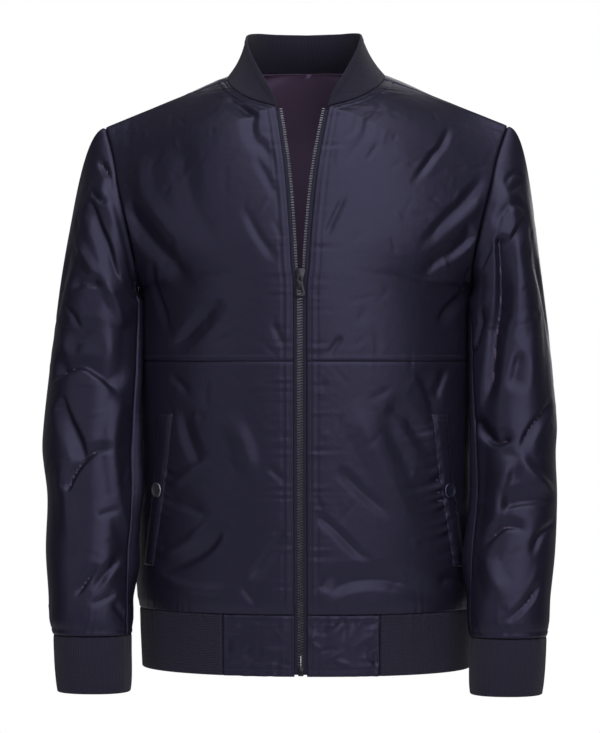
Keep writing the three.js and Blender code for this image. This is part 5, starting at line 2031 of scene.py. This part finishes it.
@dataclass
class Zip:
    """The zip: two tapes with metal teeth, closed up to the slider, with its pull and bottom box."""

    finishes: Finishes
    teeth: ToothTree
    near: float = -4.7
    far: float = 9.0
    tooth_at: float = -5.5
    slider_step: float = 53.0

    def edge_cloth(self, side: int, away: Array, lowest: float, closing: float = 0.0) -> Cloth:
        """A strip beside the front edge on one side.

        Args:
            side: 1 on the wearer's left, -1 on the right.
            away: how far its columns lie from the front edge, in millimetres.
            lowest: the step where it begins.
            closing: how much nearer the middle its first column runs below the slider.

        Returns:
            The strip.
        """
        steps = even_keys(lambda k: front_place(0.0, k), (lowest, 0, ZIP_TOP_STEP), 3.0)
        places = np.broadcast_to(away, (len(steps), len(away))).copy()
        places[:, 0] += closing * (1 - ramp(steps - self.slider_step, 3))
        return Cloth(steps, away, mirrored(edge_place(places, steps[:, None]), side), side)

    def build(self) -> None:
        """Makes the tapes, the teeth and the metal parts."""
        for side, hand in ((1, "left"), (-1, "right")):
            columns = np.array([self.near, -3.4, -2.0, 0, 3, 6, self.far])
            tape = self.edge_cloth(side, columns, BAND_STEP + 0.3, -1.9)
            depth = SHELL + LAYER_GAP
            made = shell(f"zip_tape_{hand}_cloth", tape, TAPE, (self.finishes.tape,), -depth)
            dressed(made, "zip_tape", f"zip_tape_{hand}")
            as_sheet(made, tape)
            lowest = BAND_STEP + (1.7 if side > 0 else 1.7 + 0.22)
            columns = np.array([self.tooth_at - 1, self.tooth_at, self.tooth_at + 1])
            row = self.edge_cloth(side, columns, lowest)
            line = (row.spots[:, 1] - row.outs[:, 1] * CHAIN_DEPTH, row.outs[:, 1])
            metal = self.teeth.run(f"zip_teeth_{hand}_metal", [line], self.finishes.teeth)
            dressed(metal, "zip_teeth", f"zip_teeth_{hand}")
        for node, body in (("zip_slider", "jacket"), ("zip_pull", "pull"), ("zip_box", "jacket")):
            dressed(self.rounded(node), "dark_metal", node, body=body)

    def rounded(self, node: str) -> Object:
        """A copy of a metal node with rounded edges.

        Args:
            node: the solid's name.

        Returns:
            The copy.
        """
        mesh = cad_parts[node].data.copy()
        mesh.materials.clear()
        mesh.materials.append(self.finishes.dark_metal)
        work = bmesh.new()
        work.from_mesh(mesh)
        bmesh.ops.remove_doubles(work, verts=work.verts, dist=0.01 * MM)
        bmesh.ops.dissolve_limit(work, angle_limit=math.radians(2), verts=work.verts, edges=work.edges)
        sharp = [e for e in work.edges if len(e.link_faces) == 2 and e.calc_face_angle() > math.radians(25)]
        bmesh.ops.bevel(
            work, geom=sharp, offset=0.22 * MM, segments=2, profile=0.6, affect="EDGES", clamp_overlap=True
        )
        work.to_mesh(mesh)
        work.free()
        mesh.shade_smooth()
        made = into_scene(f"{node}_metal", mesh)
        return made


@dataclass
class Pocket:
    """A slanted hand pocket's welt, laid on the lower front, and the snap on it."""

    front: Front
    finishes: Finishes
    stitches: StitchTree
    snap_up: float = 7 / 12
    snap_sunk: float = 0.95
    snap_profile: tuple[tuple[float, float], ...] = (
        (0, 1.2), (3.0, 1.2), (5.9, 1.35), (6.6, 1.8), (7.5, 1.95), (8.3, 1.6), (8.6, 1.0), (8.6, 0.0),
    )

    def at(self, share: Array, up: Array) -> Line:
        """Places on the front under the welt, and outward directions.

        Args:
            share: 0 at the welt's inner edge to 1 at its outer edge.
            up: 0 at its lower end to 1 at its upper end.

        Returns:
            The places and their outward directions.
        """
        share, up = np.broadcast_arrays(np.asarray(share, float), np.asarray(up, float))
        inner = WELT_LOW[0] + (WELT_HIGH[0] - WELT_LOW[0]) * up
        outer = WELT_LOW[1] + (WELT_HIGH[1] - WELT_LOW[1]) * up
        step = WELT_STEPS[0] + (WELT_STEPS[1] - WELT_STEPS[0]) * up
        return self.front.cloth.at_keys(inner + (outer - inner) * share, step)

    def build(self) -> None:
        """Makes the welt, its stitches and the snap."""
        side, hand = self.front.side, self.front.hand
        shares, ups = np.linspace(0, 1, 13), np.linspace(0, 1, 80)
        places, outs = self.at(shares[None, :], ups[:, None])
        cloth = Cloth(ups, shares, places + outs * (2 * LAYER_GAP + WELT), side)
        edge = np.minimum(cloth.across, cloth.across[:, -1:] - cloth.across)
        ends = np.minimum(cloth.along, cloth.along[-1:] - cloth.along)
        depth = -1.6 * (1 - ramp(edge, 8)) - 1.2 * (1 - ramp(ends, 3)) * ramp(edge, 8)
        depth += puckers(cloth.along, edge, 11, 9, 1.5 if side > 0 else 0.7, 161 + side)
        cloth.press(depth)
        made = shell(f"pocket_welt_{hand}_cloth", cloth, WELT, (self.finishes.nylon,))
        dressed(made, "nylon", f"pocket_welt_{hand}")
        as_sheet(made, cloth)
        upwards = np.arange(1, 79, dtype=float)
        across = np.arange(1, 12, dtype=float)
        ways = [(upwards, np.full_like(upwards, column)) for column in (1.2, 10.8)]
        ways += [(np.full_like(across, row), across) for row in (2.5, 76.5)]
        lines = [cloth.above(rows, columns, 0.1) for rows, columns in ways]
        stitched = self.stitches.run(f"pocket_{hand}_stitches", lines, self.finishes.thread)
        dressed(stitched, "nylon")
        self.build_snap(cloth)

    def build_snap(self, cloth: Cloth) -> None:
        """Makes the snap's cap: a dished disc with a rolled edge.

        Args:
            cloth: the welt that it sits on.
        """
        hand = self.front.hand
        low, high = (np.array(v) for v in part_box(f"snap_{hand}"))
        middle = (low + high) / 2 / MM
        outs = cloth.at_keys(np.array(0.5), np.array(self.snap_up))[1]
        profile = self.snap_profile
        reference = np.array([0.0, 0.0, 1.0])
        sideways = unit(np.cross(reference, outs))
        up = np.cross(outs, sideways)
        base = middle - outs * self.snap_sunk
        turns = np.linspace(0, 2 * math.pi, 49)[:-1]
        points = [base + outs * profile[0][1]]
        for radius, height in profile[1:]:
            around = np.outer(np.cos(turns), sideways) + np.outer(np.sin(turns), up)
            points.extend(base + outs * height + radius * around)
        count = len(turns)
        faces = [(0, 1 + i, 1 + (i + 1) % count) for i in range(count)]
        for level in range(len(profile) - 2):
            a, b = 1 + level * count, 1 + (level + 1) * count
            faces += [(a + i, b + i, b + (i + 1) % count, a + (i + 1) % count) for i in range(count)]
        first = 1 + (len(profile) - 2) * count
        faces.append(tuple(range(first + count - 1, first - 1, -1)))
        finish = self.finishes.snap_navy if hand == "left" else self.finishes.snap_grey
        made = new_object(f"snap_{hand}_cap", np.array(points), faces, (finish,))
        work = bmesh.new()
        work.from_mesh(made.data)
        bmesh.ops.recalc_face_normals(work, faces=work.faces)
        work.to_mesh(made.data)
        work.free()
        made.data.polygons[len(made.data.polygons) - 1].use_smooth = False
        dressed(made, "snap_metal", f"snap_{hand}")


@dataclass
class BackLining:
    """The lining that shows inside the neck, a little inside the back."""

    finishes: Finishes
    slack: float = 9.0
    reach: float = 0.88

    def build(self) -> None:
        """Makes the lining."""
        cloth = both_halves((1.5, BACK_NECK_STEP, 97), 60.0, self.reach, 4.0)
        steps, across = cloth.row_keys[:, None], np.abs(cloth.column_keys)[None]
        from_neck = np.maximum(0, BACK_NECK_STEP - steps) / 14 + 1.5 * across
        cloth.press(-self.slack * np.minimum(1, from_neck) * np.minimum(1, 0.25 + (steps - 1.5) / 18))
        off = -SHELL - 2 * LAYER_GAP
        made, area = two_halves("lining_back_cloth", cloth, LINING, (self.finishes.lining,), off)
        dressed(made, "lining", "lining_back")
        as_sheet(made, cloth, area)


@dataclass(frozen=True)
class Softbox:
    """A soft studio light: its place and size in metres, and its power."""

    name: str
    spot: tuple[float, float, float]
    size: tuple[float, float]
    power: float
    aim: tuple[float, float, float] = (0.0, 0.0, -0.35)

    def build(self) -> None:
        """Makes the light."""
        light = bpy.data.lights.new(self.name, "AREA")
        light.shape = "RECTANGLE"
        light.size, light.size_y = self.size
        light.energy = self.power
        made = bpy.data.objects.new(self.name, light)
        made.location = self.spot
        towards = Vector(self.aim) - Vector(self.spot)
        made.rotation_euler = towards.to_track_quat("-Z", "Y").to_euler()
        made.visible_camera = False
        bpy.context.scene.collection.objects.link(made)


@dataclass
class Studio:
    """The pale floor, the white surroundings, the soft lights and the camera."""

    floor_z: float = -1.25
    floor_half: float = 2.0
    softboxes: tuple[Softbox, ...] = (
        Softbox("key", (0.85, -2.6, 0.62), (2.7, 2.7), 47.0),
        Softbox("fill", (-1.8, -2.1, 0.2), (1.0, 2.0), 8.0),
        Softbox("top", (0.1, -0.9, 1.8), (2.4, 1.6), 31.0),
        Softbox("back", (0.5, 2.7, 0.7), (2.4, 2.2), 30.0),
    )

    def build(self) -> None:
        """Makes everything that isn't part of the jacket."""
        self.build_world()
        self.build_floor()
        for softbox in self.softboxes:
            softbox.build()
        self.build_camera()

    def build_world(self) -> None:
        """White all round the jacket's back, dimmer in front, and white where the camera looks past it."""
        world = bpy.data.worlds.new("studio_world")
        world.use_nodes = True
        bpy.context.scene.world = world
        tree = Tree(world.node_tree)
        place = tree.add("ShaderNodeTexCoord")
        way = tree.add("ShaderNodeSeparateXYZ", {0: place.outputs["Generated"]})
        level = tree.add(
            "ShaderNodeMapRange",
            {"Value": way.outputs[1], "From Min": 0.0, "From Max": 0.6, "To Min": 0.03, "To Max": 0.16},
        )
        seen = tree.add("ShaderNodeLightPath")
        strength = tree.math("MAXIMUM", level.outputs[0], seen.outputs["Is Camera Ray"])
        back = tree.add("ShaderNodeBackground", {"Color": (1, 1, 1, 1), "Strength": strength})
        tree.add("ShaderNodeOutputWorld", {0: back.outputs[0]})

    def build_floor(self) -> None:
        """A plain pale floor, below what the photograph frames."""
        half = self.floor_half / MM
        z = self.floor_z / MM
        corners = np.array([(-half, -half, z), (half, -half, z), (half, half, z), (-half, half, z)])
        material, tree = new_material("pale_floor")
        shader = tree.add("ShaderNodeBsdfPrincipled", {"Base Color": (0.86, 0.86, 0.86, 1), "Roughness": 0.7})
        tree.add("ShaderNodeOutputMaterial", {0: shader.outputs[0]})
        new_object("floor", corners, [(0, 1, 2, 3)], (material,))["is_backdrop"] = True

    def build_camera(self) -> None:
        """The camera, where the photograph was taken from."""
        data = bpy.data.cameras.new("camera")
        data.lens = PHOTO.lens
        data.sensor_width = PHOTO.sensor
        data.shift_x = -(PHOTO.axis_x - PHOTO.wide / 2) / PHOTO.tall
        data.clip_end = 50
        camera = bpy.data.objects.new("camera", data)
        camera.location = tuple(PHOTO.spot() * MM)
        camera.rotation_euler = (math.radians(90), 0, math.radians(PHOTO.azimuth))
        bpy.context.scene.collection.objects.link(camera)
        bpy.context.scene.camera = camera


def write_sizes() -> None:
    """Measures the solids' box and the dressed jacket's box."""
    boxes = {"cad": CAD_BOX, "visual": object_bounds()}
    boxes = {name: [[float(v) for v in corner] for corner in box] for name, box in boxes.items()}


def main() -> None:
    """Builds the jacket piece by piece, then the studio."""
    logging.basicConfig(level=logging.INFO, format="%(message)s")
    bpy.context.scene.view_settings.view_transform = "Standard"
    finishes = Finishes()
    stitches, teeth = StitchTree(), ToothTree()
    Collar(finishes).build()
    Back(finishes, stitches).build()
    BackLining(finishes).build()
    HemBand(finishes, stitches).build()
    for side, hand, front_folds, sleeve_folds in (
        (1, "left", LEFT_FRONT_FOLDS, LEFT_SLEEVE_FOLDS),
        (-1, "right", RIGHT_FRONT_FOLDS, RIGHT_SLEEVE_FOLDS),
    ):
        front = Front(side, hand, finishes, stitches, front_folds)
        front.build()
        Pocket(front, finishes, stitches).build()
        Sleeve(side, hand, finishes, stitches, sleeve_folds).build()
        Cuff(side, hand, finishes).build()
    Zip(finishes, teeth).build()
    Studio().build()
    write_sizes()


if __name__ == "__main__":
    main()
